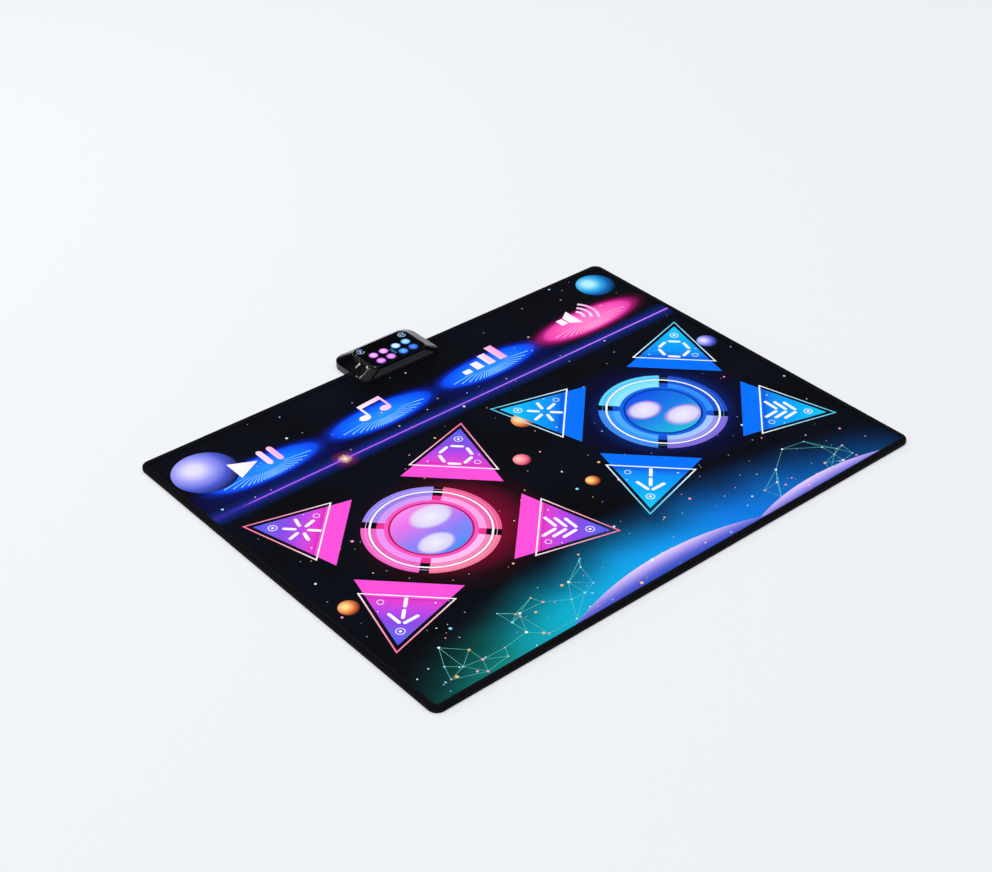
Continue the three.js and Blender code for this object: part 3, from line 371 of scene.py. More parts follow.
@dataclass(frozen=True)
class PrintedCloth(Finish):
    """Polyester cloth, woven, printed and coated: flat bright ink under a soft, low shine.

    The coat fills the weave, so the threads show only as a faint grain.
    """

    hue: str = "#0a0b10"
    stops: Stops = ()
    span: tuple[float, float] = (0.0, 1.0)
    blend: Blend = Blend.ALONG
    glows: tuple[Glow, ...] = ()
    # Threads of such cloth are 0.3 mm apart. They are drawn at 1.5 mm so that the grain shows.
    thread: float = 1.5
    # Ink and coat vary by a few percent over a few centimetres.
    mottle: float = 33.333

    def ink(self, tree: Tree, place: Node) -> Socket:
        """Returns the ink's colour, plain or blended over the figure's own axes.

        Args:
            tree: The material's node tree.
            place: The point's place on the mat, for a print that follows the whole mat. Not used
                here.

        Returns:
            The socket that gives the colour.
        """
        if not self.stops:
            plain_ink = add_node(tree, "RGB").outputs[0]
            plain_ink.default_value = linear(self.hue)
            return plain_ink
        own = add_node(tree, "Attribute", attribute_name="place").outputs["Vector"]
        if self.blend is Blend.ROUND:
            share = add_node(tree, "TexGradient", {0: own}, gradient_type="SPHERICAL")
        else:
            apart = add_node(tree, "SeparateXYZ", {0: own})
            start, end = self.span
            share = add_node(
                tree, "MapRange",
                {"Value": apart.outputs[self.blend.value], "From Min": start, "From Max": end},
            )
        blended = add_node(tree, "ValToRGB", {0: share}, self.stops)
        return self.lit(tree, own, blended.outputs[0])

    def lit(
        self, tree: Tree, place: object, colour: Socket, patches: Sequence[Node] = ()
    ) -> Socket:
        """Lays the finish's glows over a colour.

        Args:
            tree: The material's node tree.
            place: The node or socket that gives the point's place in the glows' axes.
            colour: The colour under them.
            patches: Nodes whose colours are laid over it too.

        Returns:
            The socket that gives the brightest of them, channel by channel.
        """
        bright = list(patches)
        for glow in self.glows:
            # A glow reaches further up and down than the mat is thick, so it shows in full.
            spot = add_node(
                tree, "Mapping",
                {
                    "Vector": place,
                    "Location": (glow.centre.real, glow.centre.imag, 0.0),
                    "Scale": (glow.across, glow.along, 1000.0),
                },
                vector_type="TEXTURE",
            )
            share = add_node(tree, "TexGradient", {0: spot}, gradient_type="SPHERICAL")
            bright.append(add_node(tree, "ValToRGB", {0: share}, glow.stops))
        for patch in bright:
            colour = add_node(
                tree, "Mix",
                {"Factor": 1.0, 6: colour, 7: patch},
                data_type="RGBA",
                blend_type="LIGHTEN",
            ).outputs[2]
        return colour

    def dress(self, tree: Tree, surface: Node) -> None:
        """Sets the ink, its slight unevenness, the thread grain and the coat's shine.

        Args:
            tree: The material's node tree.
            surface: Its surface shader.
        """
        place = millimetres(tree)
        mottle = add_node(
            tree, "TexNoise", {"Vector": place, "Scale": 1 / self.mottle, "Detail": 3.0}
        )
        evened = add_node(tree, "MapRange", {"Value": mottle, "To Min": 0.93, "To Max": 1.05})
        printed = add_node(
            tree, "VectorMath", {0: self.ink(tree, place), "Scale": evened}, operation="SCALE"
        )
        warp, weft = (
            add_node(
                tree, "TexWave",
                {"Vector": place, "Scale": band_scale(self.thread)},
                bands_direction=direction,
            )
            for direction in "XY"
        )
        grain = add_node(
            tree, "Math", {0: warp.outputs["Fac"], 1: weft.outputs["Fac"]}, operation="MULTIPLY"
        )
        bump = add_node(tree, "Bump", {"Height": grain, "Distance": 0.03 * MM, "Strength": 0.5})
        scuff = add_node(tree, "MapRange", {"Value": mottle, "To Min": 0.42, "To Max": 0.56})
        connect(tree, surface, {
            "Base Color": printed,
            "Normal": bump,
            "Roughness": scuff,
            "Specular IOR Level": 0.05,
        })


BLUE_OVAL: Stops = (
    (0.0, "#000000"), (0.14, "#020a38"), (0.27, "#051f8c"), (0.345, "#0a4af0"),
    (0.55, "#0b6aff"), (1.0, "#2a93ff"),
)
PINK_OVAL: Stops = (
    (0.0, "#000000"), (0.14, "#3a0424"), (0.27, "#a01870"), (0.345, "#ea40a8"),
    (0.55, "#f45cba"), (1.0, "#f884c8"),
)
BLUE_HAZE: Stops = ((0.0, "#000000"), (1.0, "#05186e"))

# Half the width that the screen and the dividing line are printed over.
PRINT_REACH = 590.0


@dataclass(frozen=True)
class GroundPrint(PrintedCloth):
    """The printed ground: near black, with a dotted screen of teal to azure along the near edge.

    The glows round the rings, under the dividing line and at the menu fields are in it, so they
    run on over the seams of the pads.
    """

    line_y: float = 210.5
    line_halo: float = 30.0
    screen_pitch: float = 5.0
    # The screen fades in from the first of these heights to the second.
    screen_span: tuple[float, float] = (-205.0, -368.0)
    # Its upper edge bows down by this much at the mat's sides, and drifts by this much with
    # clouds of this width.
    screen_bow: float = 95.0
    screen_drift: float = 70.0
    cloud: float = 166.67
    glows: tuple[Glow, ...] = (
        Glow(-262 - 92j, 205, 190, ((0.0, "#000000"), (0.25, "#20020f"), (0.75, "#8c0038"))),
        Glow(298 - 68j, 225, 205, ((0.0, "#000000"), (0.3, "#020a30"), (0.8, "#0638a0"))),
        Glow(-420 + 285j, 175, 54.6, BLUE_OVAL),
        Glow(-140 + 285j, 175, 54.6, BLUE_OVAL),
        Glow(140 + 285j, 175, 54.6, BLUE_OVAL),
        Glow(420 + 285j, 175, 54.6, PINK_OVAL),
        Glow(-420 + 262j, 220, 70, BLUE_HAZE),
        Glow(140 + 262j, 220, 70, BLUE_HAZE),
        Glow(-286 + 210.5j, 30, 30, ((0.0, "#000000"), (0.5, "#5c2038"), (1.0, "#ffd0a8"))),
    )

    def strength(self, tree: Tree, cloud: Node, apart: Node) -> Node:
        """Returns how strong the dotted screen is, from 0 above it to 1 at the near edge.

        Args:
            tree: The material's node tree.
            cloud: The ground's soft clouds.
            apart: The point's place on the mat, axis by axis.

        Returns:
            The node that gives the strength.
        """
        off_middle = add_node(tree, "Math", {0: apart.outputs["X"], 1: 2.0}, operation="POWER")
        bow = add_node(
            tree, "Math",
            {0: off_middle, 1: self.screen_bow / PRINT_REACH**2, 2: apart.outputs["Y"]},
            operation="MULTIPLY_ADD",
        )
        drift = add_node(
            tree, "Math", {0: cloud, 1: self.screen_drift, 2: bow}, operation="MULTIPLY_ADD"
        )
        start, full = self.screen_span
        return add_node(
            tree, "MapRange",
            {"Value": drift, "From Min": start, "From Max": full},
            interpolation_type="SMOOTHSTEP",
        )

    def screen(self, tree: Tree, place: Node, apart: Node) -> Socket:
        """Returns the dark ground with the dotted screen of colour along the near edge.

        Args:
            tree: The material's node tree.
            place: The point's place on the mat.
            apart: The same place, axis by axis.

        Returns:
            The socket that gives the colour.
        """
        cloud = add_node(
            tree, "TexNoise", {"Vector": place, "Scale": 1 / self.cloud, "Detail": 2.0}
        )
        ground = add_node(tree, "ValToRGB", {0: cloud}, ((0.35, "#05060a"), (0.65, "#070a16")))
        band = self.strength(tree, cloud, apart)
        left, right = MAT_EDGE.left, MAT_EDGE.right
        along = add_node(
            tree, "MapRange", {"Value": apart.outputs["X"], "From Min": left, "From Max": right}
        )
        tint = add_node(
            tree, "ValToRGB",
            {0: along},
            (
                (0.0, "#05493f"), (0.14, "#0d938c"), (0.27, "#0bb2d2"), (0.45, "#12a6f6"),
                (0.63, "#0e80ea"), (0.85, "#0760b4"), (1.0, "#04264a"),
            ),
        )
        # Distances from the dots' middles, in pitches. The dots grow with the band's strength.
        cells = add_node(
            tree, "TexVoronoi",
            {"Vector": place, "Scale": 1 / self.screen_pitch, "Randomness": 0.0},
            voronoi_dimensions="2D",
        )
        reach = add_node(tree, "MapRange", {"Value": band, "To Min": 0.1, "To Max": 0.52})
        within = add_node(tree, "Math", {0: reach, 1: cells}, operation="SUBTRACT")
        dots = add_node(
            tree, "MapRange", {"Value": within, "From Min": -0.08, "From Max": 0.08, "To Min": 0.4}
        )
        held = add_node(tree, "Math", {0: band, 1: dots}, operation="MULTIPLY")
        return add_node(
            tree, "Mix", {"Factor": held, 6: ground, 7: tint}, data_type="RGBA"
        ).outputs[2]

    def ink(self, tree: Tree, place: Node) -> Socket:
        """Returns the ground's colour, with its screen, its glows and the dividing line's halo.

        Args:
            tree: The material's node tree.
            place: The point's place on the mat.

        Returns:
            The socket that gives the colour.
        """
        apart = add_node(tree, "SeparateXYZ", {0: place})
        off_line = add_node(
            tree, "Math", {0: apart.outputs["Y"], 1: self.line_y}, operation="SUBTRACT"
        )
        near_line = add_node(tree, "Math", {0: off_line}, operation="ABSOLUTE")
        halo = add_node(
            tree, "MapRange", {"Value": near_line, "From Min": self.line_halo, "From Max": 1.0}
        )
        shine = add_node(
            tree, "ValToRGB",
            {0: halo},
            (
                (0.0, "#000000"), (0.3, "#051640"), (0.6, "#0a1c5c"), (0.85, "#1c2280"),
                (1.0, "#3a2a98"),
            ),
        )
        return self.lit(tree, place, self.screen(tree, place, apart), [shine])


@dataclass(frozen=True)
class WovenTape(Finish):
    """Polyester twill tape or thread, woven or twisted: matt black with fine slanting ribs."""

    hue: str = "#08080b"
    # The ribs are 0.8 mm apart on such tape. They are drawn at 1.6 mm so that they show.
    rib: float = 1.6
    depth: float = 0.12
    # Painted shade and highlight: the grooves are painted darker than the hue and the ribs' crests
    # painted lighter.
    groove: float = 0.6
    crest: float = 1.5

    def dress(self, tree: Tree, surface: Node) -> None:
        """Sets the colour and the ribs, with painted shade in the grooves and painted highlight on
        the crests.

        Args:
            tree: The material's node tree.
            surface: Its surface shader.
        """
        ribs = add_node(
            tree, "TexWave",
            {"Vector": millimetres(tree), "Scale": band_scale(self.rib), "Distortion": 0.4},
            bands_direction="DIAGONAL",
        ).outputs["Fac"]
        # The colour is painted darker in the grooves and lighter on the crests: painted shade and
        # highlight that follow the ribs.
        painted_rib_light_and_shade = add_node(
            tree, "Mix",
            {"Factor": ribs, 6: toned(self.hue, self.groove), 7: toned(self.hue, self.crest)},
            data_type="RGBA",
        ).outputs[2]
        bump = add_node(
            tree, "Bump", {"Height": ribs, "Distance": self.depth * MM, "Strength": 0.6}
        )
        connect(tree, surface, {
            "Base Color": painted_rib_light_and_shade,
            "Normal": bump,
            "Roughness": 0.72,
            "Specular IOR Level": 0.06,
        })


@dataclass(frozen=True)
class Moulded(Finish):
    """Plastic, rubber, foam or paper, moulded: one colour with the grain that its making leaves.

    A polished mould gives a mirror-like skin, a spark-eroded one a fine even grain, and blowing
    leaves cells.
    """

    hue: str = "#0a0a0d"
    roughness: float = 0.5
    specular: float = 0.5
    grain: float = 0.6
    depth: float = 0.02
    cellular: bool = False
    # Hands leave patches of this width in the colour and the shine.
    wear: float = 20.0

    def dress(self, tree: Tree, surface: Node) -> None:
        """Sets the colour, the grain and the wear that shows in the shine.

        Args:
            tree: The material's node tree.
            surface: Its surface shader.
        """
        place = millimetres(tree)
        grain = add_node(
            tree, "TexVoronoi" if self.cellular else "TexNoise",
            {"Vector": place, "Scale": 1 / self.grain},
        )
        handled = add_node(
            tree, "TexNoise", {"Vector": place, "Scale": 1 / self.wear, "Detail": 4.0}
        )
        shade = add_node(tree, "MapRange", {"Value": handled, "To Min": 0.86, "To Max": 1.12})
        even = add_node(tree, "RGB").outputs[0]
        even.default_value = linear(self.hue)
        worn = add_node(tree, "VectorMath", {0: even, "Scale": shade}, operation="SCALE")
        gloss = add_node(
            tree, "MapRange",
            {
                "Value": handled,
                "From Min": 0.3,
                "From Max": 0.7,
                "To Min": self.roughness * 0.88,
                "To Max": min(1.0, self.roughness * 1.15),
            },
        )
        bump = add_node(
            tree, "Bump", {"Height": grain, "Distance": self.depth * MM, "Strength": 0.5}
        )
        connect(tree, surface, {
            "Base Color": worn,
            "Roughness": gloss,
            "Normal": bump,
            "IOR": 1.53,
            "Specular IOR Level": self.specular,
        })


@dataclass(frozen=True)
class Sheen(Finish):
    """Metal, rolled, turned or plated: a bright grey or yellow with fine drawn lines."""

    hue: str = "#b9bcc0"
    roughness: float = 0.3
    # Lines of a rolled or turned face are 0.05 mm apart. They are drawn at 0.5 mm to show.
    line: float = 0.5

    def dress(self, tree: Tree, surface: Node) -> None:
        """Sets the metal's colour and its drawn lines, ten times as long as they are wide.

        Args:
            tree: The material's node tree.
            surface: Its surface shader.
        """
        stretched = add_node(
            tree, "Mapping", {"Vector": millimetres(tree), "Scale": (0.1, 1.0, 1.0)}
        )
        lines = add_node(
            tree, "TexNoise", {"Vector": stretched, "Scale": 1 / self.line, "Detail": 2.0}
        )
        gloss = add_node(
            tree, "MapRange",
            {"Value": lines, "To Min": self.roughness * 0.7, "To Max": self.roughness * 1.3},
        )
        bump = add_node(tree, "Bump", {"Height": lines, "Distance": 0.01 * MM, "Strength": 0.3})
        connect(tree, surface, {
            "Base Color": linear(self.hue),
            "Metallic": 1.0,
            "Roughness": gloss,
            "Normal": bump,
        })


class Bands(Enum):
    """The way that printed or etched bands follow one another."""

    ACROSS = "X"
    SLANTING = "DIAGONAL"


@dataclass(frozen=True)
class Banded(Finish):
    """A smooth sheet or wrap with printed or etched bands of a second colour, with clear gaps."""

    hue: str = "#c9cdd2"
    band: str = "#3a3d42"
    pitch: float = 8.0
    edge: float = 0.55
    way: Bands = Bands.ACROSS
    roughness: float = 0.35
    # The step between the two colours takes this share of the wave's rise.
    blur: float = 0.06

    def dress(self, tree: Tree, surface: Node) -> None:
        """Sets the two colours and the step between them.

        Args:
            tree: The material's node tree.
            surface: Its surface shader.
        """
        waves = add_node(
            tree, "TexWave",
            {"Vector": millimetres(tree), "Scale": band_scale(self.pitch)},
            bands_direction=self.way.value,
        ).outputs["Fac"]
        colour = add_node(
            tree, "ValToRGB",
            {0: waves},
            ((self.edge, self.hue), (self.edge + self.blur, self.band)),
        )
        bump = add_node(tree, "Bump", {"Height": waves, "Distance": 0.02 * MM, "Strength": 0.3})
        connect(tree, surface, {
            "Base Color": colour,
            "Normal": bump,
            "Roughness": self.roughness,
        })


@dataclass(frozen=True)
class LitLens(Finish):
    """Translucent ABS, moulded and lit from below: a bright heart that fades to a deep rim.

    Its hues are those of the dark edge, the rim, the heart and the core, which is the glow's hot spot
    with a painted highlight of the dome on it.
    """

    hues: Hues
    power: float = 0.2

    def dress(self, tree: Tree, surface: Node) -> None:
        """Sets the glow, which falls off from the lens's middle.

        Args:
            tree: The material's node tree.
            surface: Its surface shader.
        """
        edge, rim, heart, hot_spot_and_painted_highlight = self.hues
        own = add_node(tree, "Attribute", attribute_name="place").outputs["Vector"]
        share = add_node(tree, "TexGradient", {0: own}, gradient_type="SPHERICAL")
        # The last, palest stop at the lens's middle is the glow's hot spot with a painted highlight
        # of the dome laid into it.
        glow = add_node(
            tree, "ValToRGB",
            {0: share},
            ((0.08, edge), (0.22, rim), (0.38, heart), (0.65, heart), (1.0, hot_spot_and_painted_highlight)),
        )
        connect(tree, surface, {
            "Base Color": glow,
            "Emission Color": glow,
            "Emission Strength": self.power,
            "Roughness": 0.2,
            "Specular IOR Level": 0.5,
        })


# Meshes


@dataclass(frozen=True)
class Frame:
    """A figure's own axes on the mat: its middle, its turn in degrees and its unit."""

    centre: complex = 0j
    turn: float = 0.0
    unit: float = 1.0

    def own(self, point: complex) -> complex:
        """Returns a point of the mat in these axes."""
        return (point - self.centre) * cmath.rect(1 / self.unit, -math.radians(self.turn))

    def laid(self, outline: Outline) -> Outline:
        """Returns an outline in these axes as it lies on the mat."""
        step = cmath.rect(self.unit, math.radians(self.turn))
        return [self.centre + point * step for point in outline]


FLAT = Frame()


@dataclass(frozen=True)
class Figure:
    """One printed figure: its outline on the mat, its ink and the axes its blend follows."""

    outline: Outline
    ink: Finish
    frame: Frame = FLAT

    def span(self) -> tuple[float, float, float, float]:
        """Measures the figure.

        Returns:
            Its lowest and highest X, then its lowest and highest Y.
        """
        across = [point.real for point in self.outline]
        along = [point.imag for point in self.outline]
        return min(across), max(across), min(along), max(along)

    def meets(self, other: "Figure") -> bool:
        """Tells whether the boxes round two figures meet.

        Args:
            other: The other figure.

        Returns:
            True where they do.
        """
        left, right, front, rear = self.span()
        other_left, other_right, other_front, other_rear = other.span()
        return (
            left < other_right
            and other_left < right
            and front < other_rear
            and other_front < rear
        )


@dataclass
class Shape:
    """A mesh while it is built: points in millimetres, and faces with their finishes."""

    points: list[Spot] = field(default_factory=list)
    faces: list[Sequence[int]] = field(default_factory=list)
    skins: list[Finish] = field(default_factory=list)
    places: list[float] = field(default_factory=list)

    def row(self, spots: Sequence[tuple[complex, float]]) -> list[int]:
        """Adds points.

        Args:
            spots: Each point's place in the plane and its height.

        Returns:
            The points' numbers.
        """
        first = len(self.points)
        self.points.extend((spot.real, spot.imag, height) for spot, height in spots)
        return list(range(first, len(self.points)))

    def face(self, corners: Sequence[int], skin: Finish, frame: Frame = FLAT) -> None:
        """Adds a face.

        Args:
            corners: The numbers of its points, anticlockwise from outside.
            skin: Its finish.
            frame: The axes that the finish blends over.
        """
        self.faces.append(corners)
        self.skins.append(skin)
        for corner in corners:
            place = frame.own(complex(*self.points[corner][:2]))
            self.places.extend((place.real, place.imag, 0.0))

    def bridge(
        self, lower: Sequence[int], upper: Sequence[int], skin: Finish, frame: Frame = FLAT
    ) -> None:
        """Joins two closed loops with quads that face outward.

        Args:
            lower: The first loop, anticlockwise from the second one's side.
            upper: The second loop.
            skin: The quads' finish.
            frame: The axes that the finish blends over.
        """
        for at in range(len(lower)):
            self.face((lower[at - 1], lower[at], upper[at], upper[at - 1]), skin, frame)

    def stack(
        self,
        layers: Sequence[tuple[Outline, float]],
        skin: Finish,
        frame: Frame = FLAT,
        ring: bool = False,
    ) -> None:
        """Bridges a row of loops, each an outline at a height.

        Args:
            layers: The loops, from the lowest up the outside.
            skin: The finish of all the faces.
            frame: The axes that the finish blends over.
            ring: True joins the last loop to the first one, and False closes both ends.
        """
        loops = [self.row([(point, height) for point in outline]) for outline, height in layers]
        for lower, upper in zip(loops, loops[1:]):
            self.bridge(lower, upper, skin, frame)
        if ring:
            self.bridge(loops[-1], loops[0], skin, frame)
        else:
            self.face(loops[0][::-1], skin, frame)
            self.face(loops[-1], skin, frame)

    def piece(self, name: str, body: str = BODY, crease: float = 35.0) -> Piece:
        """Makes the piece and lets it ride on its body.

        Args:
            name: The piece's name.
            body: The body that carries it.
            crease: Edges that turn by more degrees than this stay sharp.

        Returns:
            The new object.
        """
        mesh = bpy.data.meshes.new(name)
        mesh.from_pydata(
            [(MM * x, MM * y, MM * z) for x, y, z in self.points], [], self.faces
        )
        kinds = list(dict.fromkeys(self.skins))
        for kind in kinds:
            mesh.materials.append(kind.material())
        slots = {kind: index for index, kind in enumerate(kinds)}
        mesh.polygons.foreach_set("material_index", [slots[skin] for skin in self.skins])
        mesh.attributes.new("place", "FLOAT_VECTOR", "CORNER").data.foreach_set(
            "vector", self.places
        )
        mesh.shade_smooth()
        mesh.set_sharp_from_angle(angle=math.radians(crease))
        made = bpy.data.objects.new(name, mesh)
        bpy.context.scene.collection.objects.link(made)
        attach(made, body)
        return made


@dataclass(frozen=True)
class Slab:
    """A flat layer, cut along its printed figures, with its upper face slightly uneven."""

    border: Outline
    bottom: float
    top: float
    ground: Finish
    windows: tuple[Outline, ...] = ()
    figures: tuple[Figure, ...] = ()
    # Padded sheet of this kind waves by a few tenths of a millimetre over a hand's width.
    sag: float = 0.4
    pitch: float = 22.0
    # Points nearer than this become one.
    merge: float = 1e-3

    def height(self, point: complex) -> float:
        """Returns the upper face's height at a point, below the top by up to the sag."""
        wave = math.sin(point.real / 61 + 1.3 * math.sin(point.imag / 83)) * math.sin(
            point.imag / 57 + math.cos(point.real / 97)
        )
        return self.top - self.sag * (0.5 + 0.5 * wave)

    def cut(
        self, rim: Figure, printed: Sequence[Figure]
    ) -> tuple[Outline, list[tuple[list[int], int]]]:
        """Cuts the layer's plane into triangles along the lines of its outlines.

        Args:
            rim: The layer's border.
            printed: The figures that lie on it, the lowest first.

        Returns:
            The triangles' points, and each triangle's corners, anticlockwise, with the number
            of the figure that shows there, which is below 0 where none does.
        """
        outlines = [self.border, *self.windows, *(figure.outline for figure in printed)]
        spots = [Vector((point.real, point.imag)) for line in outlines for point in line]
        rings: list[list[int]] = []
        for outline in outlines:
            first = rings[-1][-1] + 1 if rings else 0
            rings.append(list(range(first, first + len(outline))))
        left, right, front, rear = rim.span()
        spots.extend(
            Vector((left + self.pitch * (column + 0.5), front + self.pitch * (row + 0.5)))
            for column in range(int((right - left) / self.pitch))
            for row in range(int((rear - front) / self.pitch))
        )
        flat, _, triangles, _, _, owners = delaunay_2d_cdt(
            spots, [], rings, 1, self.merge, True
        )
        openings = set(range(1, 1 + len(self.windows)))
        kept = [
            (corners, max(owned) - 1 - len(self.windows))
            for corners, owned in zip(triangles, owners)
            if 0 in owned and not openings.intersection(owned)
        ]
        used = sorted({corner for corners, _ in kept for corner in corners})
        renumbered = {corner: number for number, corner in enumerate(used)}
        plane = [complex(*flat[corner]) for corner in used]
        found: list[tuple[list[int], int]] = []
        for triangle, owner in kept:
            corners = [renumbered[corner] for corner in triangle]
            if self.clockwise([plane[corner] for corner in corners]):
                corners.reverse()
            found.append((corners, owner))
        return plane, found

    def add_to(self, shape: Shape) -> None:
        """Adds the layer's two faces and its edges to a shape.

        Args:
            shape: The shape that the layer becomes part of.
        """
        rim = Figure(self.border, self.ground)
        printed = [figure for figure in self.figures if figure.meets(rim)]
        plane, triangles = self.cut(rim, printed)
        upper = shape.row([(point, self.height(point)) for point in plane])
        lower = shape.row([(point, self.bottom) for point in plane])
        edges: set[tuple[int, int]] = set()
        for corners, owner in triangles:
            shown = printed[owner] if owner >= 0 else rim
            shape.face([upper[corner] for corner in corners], shown.ink, shown.frame)
            shape.face([lower[corner] for corner in corners[::-1]], self.ground)
            edges.update(zip(corners, corners[1:] + corners[:1]))
        for start, end in sorted(edges):
            if (end, start) not in edges:
                shape.face((lower[start], lower[end], upper[end], upper[start]), self.ground)

    @staticmethod
    def clockwise(corners: Outline) -> bool:
        """Tells whether a triangle's corners run clockwise."""
        first, second, third = corners
        return ((second - first).conjugate() * (third - first)).imag < 0

    def area(self) -> float:
        """Returns the layer's flat area in square metres, less its windows."""
        whole, *open_parts = (
            sum((start.conjugate() * end).imag for start, end in sides_of(line))
            for line in (self.border, *self.windows)
        )
        return (abs(whole) - sum(map(abs, open_parts))) / 2 * MM * MM

    def sheet(self) -> None:
        """Measures this layer's span and flat area, but does nothing with them.
        """
        left, right, front, rear = Figure(self.border, self.ground).span()
        self.area()


# Print

MAT_EDGE = Oblong(-600, 600, -450, 450, 19, 19)


class Glyph(Enum):
    """The generic sign in the middle of a step."""

    BURST = "burst"
    HEXAGON = "hexagon"
    ARROW = "arrow"
    CHEVRONS = "chevrons"

    def lines(self) -> list[Outline]:
        """Draws the sign.

        Returns:
            Its pen lines, about its own middle.
        """
        if self is Glyph.BURST:
            turns = [cmath.rect(1, math.radians(30 + 60 * ray)) for ray in range(6)]
            return [[13 * turn, 33 * turn] for turn in turns]
        if self is Glyph.HEXAGON:
            corners = [cmath.rect(34, math.radians(60 * corner)) for corner in range(7)]
            return [
                [start + 0.2 * (end - start), end - 0.2 * (end - start)]
                for start, end in zip(corners, corners[1:])
            ]
        if self is Glyph.ARROW:
            return [[-33j, -13j], [-2j, 18j], [-25 + 11j, -5 + 31j], [25 + 11j, 5 + 31j]]
        return [
            [side * 27 + (low - 12) * 1j, side * 5 + (low + 8) * 1j]
            for side in (-1, 1)
            for low in (-18, 1, 20)
        ]


class Corner(Enum):
    """A step's place round its ring, across and along the mat."""

    UPPER_LEFT = (-1, 1)
    UPPER_RIGHT = (1, 1)
    LOWER_LEFT = (-1, -1)
    LOWER_RIGHT = (1, -1)


@dataclass(frozen=True)
class Triangle:
    """A triangle in a step's axes, by the heights of its base and its tip and half its base."""

    base: float
    tip: float
    half: float

    def corners(self) -> Outline:
        """Returns its corners, anticlockwise from the base's right end."""
        return [complex(self.half, self.base), complex(0, self.tip), complex(-self.half, self.base)]


STEP_FILL = Triangle(-66.0, 102.5, 98.5)
STEP_LINE_OUTER = Triangle(-29.5, 123.0, 88.0)
STEP_LINE_INNER = Triangle(-26.6, 117.2, 83.0)

# Plain inks: a flat white for the signs and a deep, slightly warm black for the rings' gaps.
WHITE_INK = PrintedCloth("printed_cloth_white", hue="#f4f4fb")
BLACK_INK = PrintedCloth("printed_cloth_black", hue="#08070c")


@dataclass(frozen=True)
class HalfPrint:
    """The print of one player's half: a ring and the four steps round it."""

    name: str
    centre: complex
    step: PrintedCloth
    edge_line: PrintedCloth
    band_inks: tuple[PrintedCloth, ...]
    dark_inks: tuple[PrintedCloth, ...]
    light_inks: tuple[PrintedCloth, ...]
    gap: PrintedCloth
    full: PrintedCloth
    rim: PrintedCloth
    heart: PrintedCloth
    step_across: float = 174.0
    step_along: float = 142.0
    gap_width: float = 18.0
    pen: float = 7.0
    sign_middle: complex = 12j

    def disc(self, radius: float, ink: Finish) -> Figure:
        """Returns a disc about the ring's middle."""
        return Figure(circle(self.centre, radius, 96), ink, Frame(self.centre, 0, radius))

    def band(self, inner: float, outer: float, inks: Sequence[PrintedCloth]) -> list[Figure]:
        """Draws a band of four parts with gaps at the diagonals.

        Args:
            inner: The band's inner radius.
            outer: Its outer radius.
            inks: The parts' inks, the first for the part at the right.

        Returns:
            The four parts.
        """
        half_gap = math.degrees(self.gap_width / (inner + outer))
        return [
            Figure(
                ring_part(
                    self.centre, inner, outer, 90 * at - 45 + half_gap, 90 * at + 45 - half_gap
                ),
                ink,
                Frame(self.centre),
            )
            for at, ink in enumerate(inks)
        ]

    def ring(self) -> list[Figure]:
        """Draws the ring, each disc laid over the one before.

        Returns:
            The discs and bands, from the widest disc to the heart.
        """
        return [
            self.disc(129.5, BLACK_INK),
            *self.band(121.5, 129.5, self.band_inks),
            self.disc(121.5, self.light_inks[0]),
            self.disc(120.3, BLACK_INK),
            *self.band(115.3, 120.3, self.band_inks),
            self.disc(115.2, WHITE_INK),
            self.disc(111.2, BLACK_INK),
            *self.band(101, 110.5, self.dark_inks),
            self.disc(101, self.gap),
            *self.band(87, 101, self.light_inks),
            self.disc(87, self.full),
            self.disc(79.5, self.rim),
            self.disc(75.5, self.heart),
        ]

    def steps(self) -> dict[Corner, Frame]:
        """Places the four steps.

        Returns:
            Each step's axes, in which +Y points away from the ring.
        """
        found: dict[Corner, Frame] = {}
        for corner in Corner:
            across, along = corner.value
            reach = complex(across * self.step_across, along * self.step_along)
            turn = math.degrees(cmath.phase(complex(across, along))) - 90
            found[corner] = Frame(self.centre + reach, turn)
        return found

    def pad_name(self, corner: Corner) -> str:
        """Returns the name of the pad under a step."""
        return f"{self.name}_step_pad_{corner.name.lower()}"

    def signs(self, glyph: Glyph) -> list[Outline]:
        """Draws a step's white signs in its own axes.

        Args:
            glyph: The sign in its middle.

        Returns:
            The outlines of that sign and of the small rings and dots round it.
        """
        rings = [
            ring_part(centre, inside, outside, start, start + 180)
            for centre, inside, outside in ((66j, 7.2, 8.9), (44 - 8j, 5.3, 6.6))
            for start in (0, 180)
        ]
        return [
            *(
                stroke([self.sign_middle + point for point in line], self.pen)
                for line in glyph.lines()
            ),
            *rings,
            circle(66j, 3, 12),
            circle(-52 - 14j, 1.8, 8),
            circle(45 + 17j, 1.4, 8),
        ]

    def step_figures(self, frame: Frame, glyph: Glyph) -> list[Figure]:
        """Draws a step's fill, its offset outline and its signs.

        Args:
            frame: The step's axes.
            glyph: The sign in its middle.

        Returns:
            The figures, the lowest first.
        """
        inner, outer = STEP_LINE_INNER.corners(), STEP_LINE_OUTER.corners()
        sides = [
            [outer[at], outer[at + 1], inner[at + 1], inner[at]] for at in (-1, 0, 1)
        ]
        return [
            Figure(frame.laid(STEP_FILL.corners()), self.step, frame),
            *(Figure(frame.laid(side), self.edge_line, frame) for side in sides),
            *(Figure(frame.laid(sign), WHITE_INK) for sign in self.signs(glyph)),
        ]


def shades(name: str, hues: str) -> tuple[PrintedCloth, ...]:
    """Returns plain inks, one for each of the hex colours in a line of them."""
    return tuple(
        PrintedCloth(f"printed_cloth_{name}_{at}", hue=hue) for at, hue in enumerate(hues.split())
    )


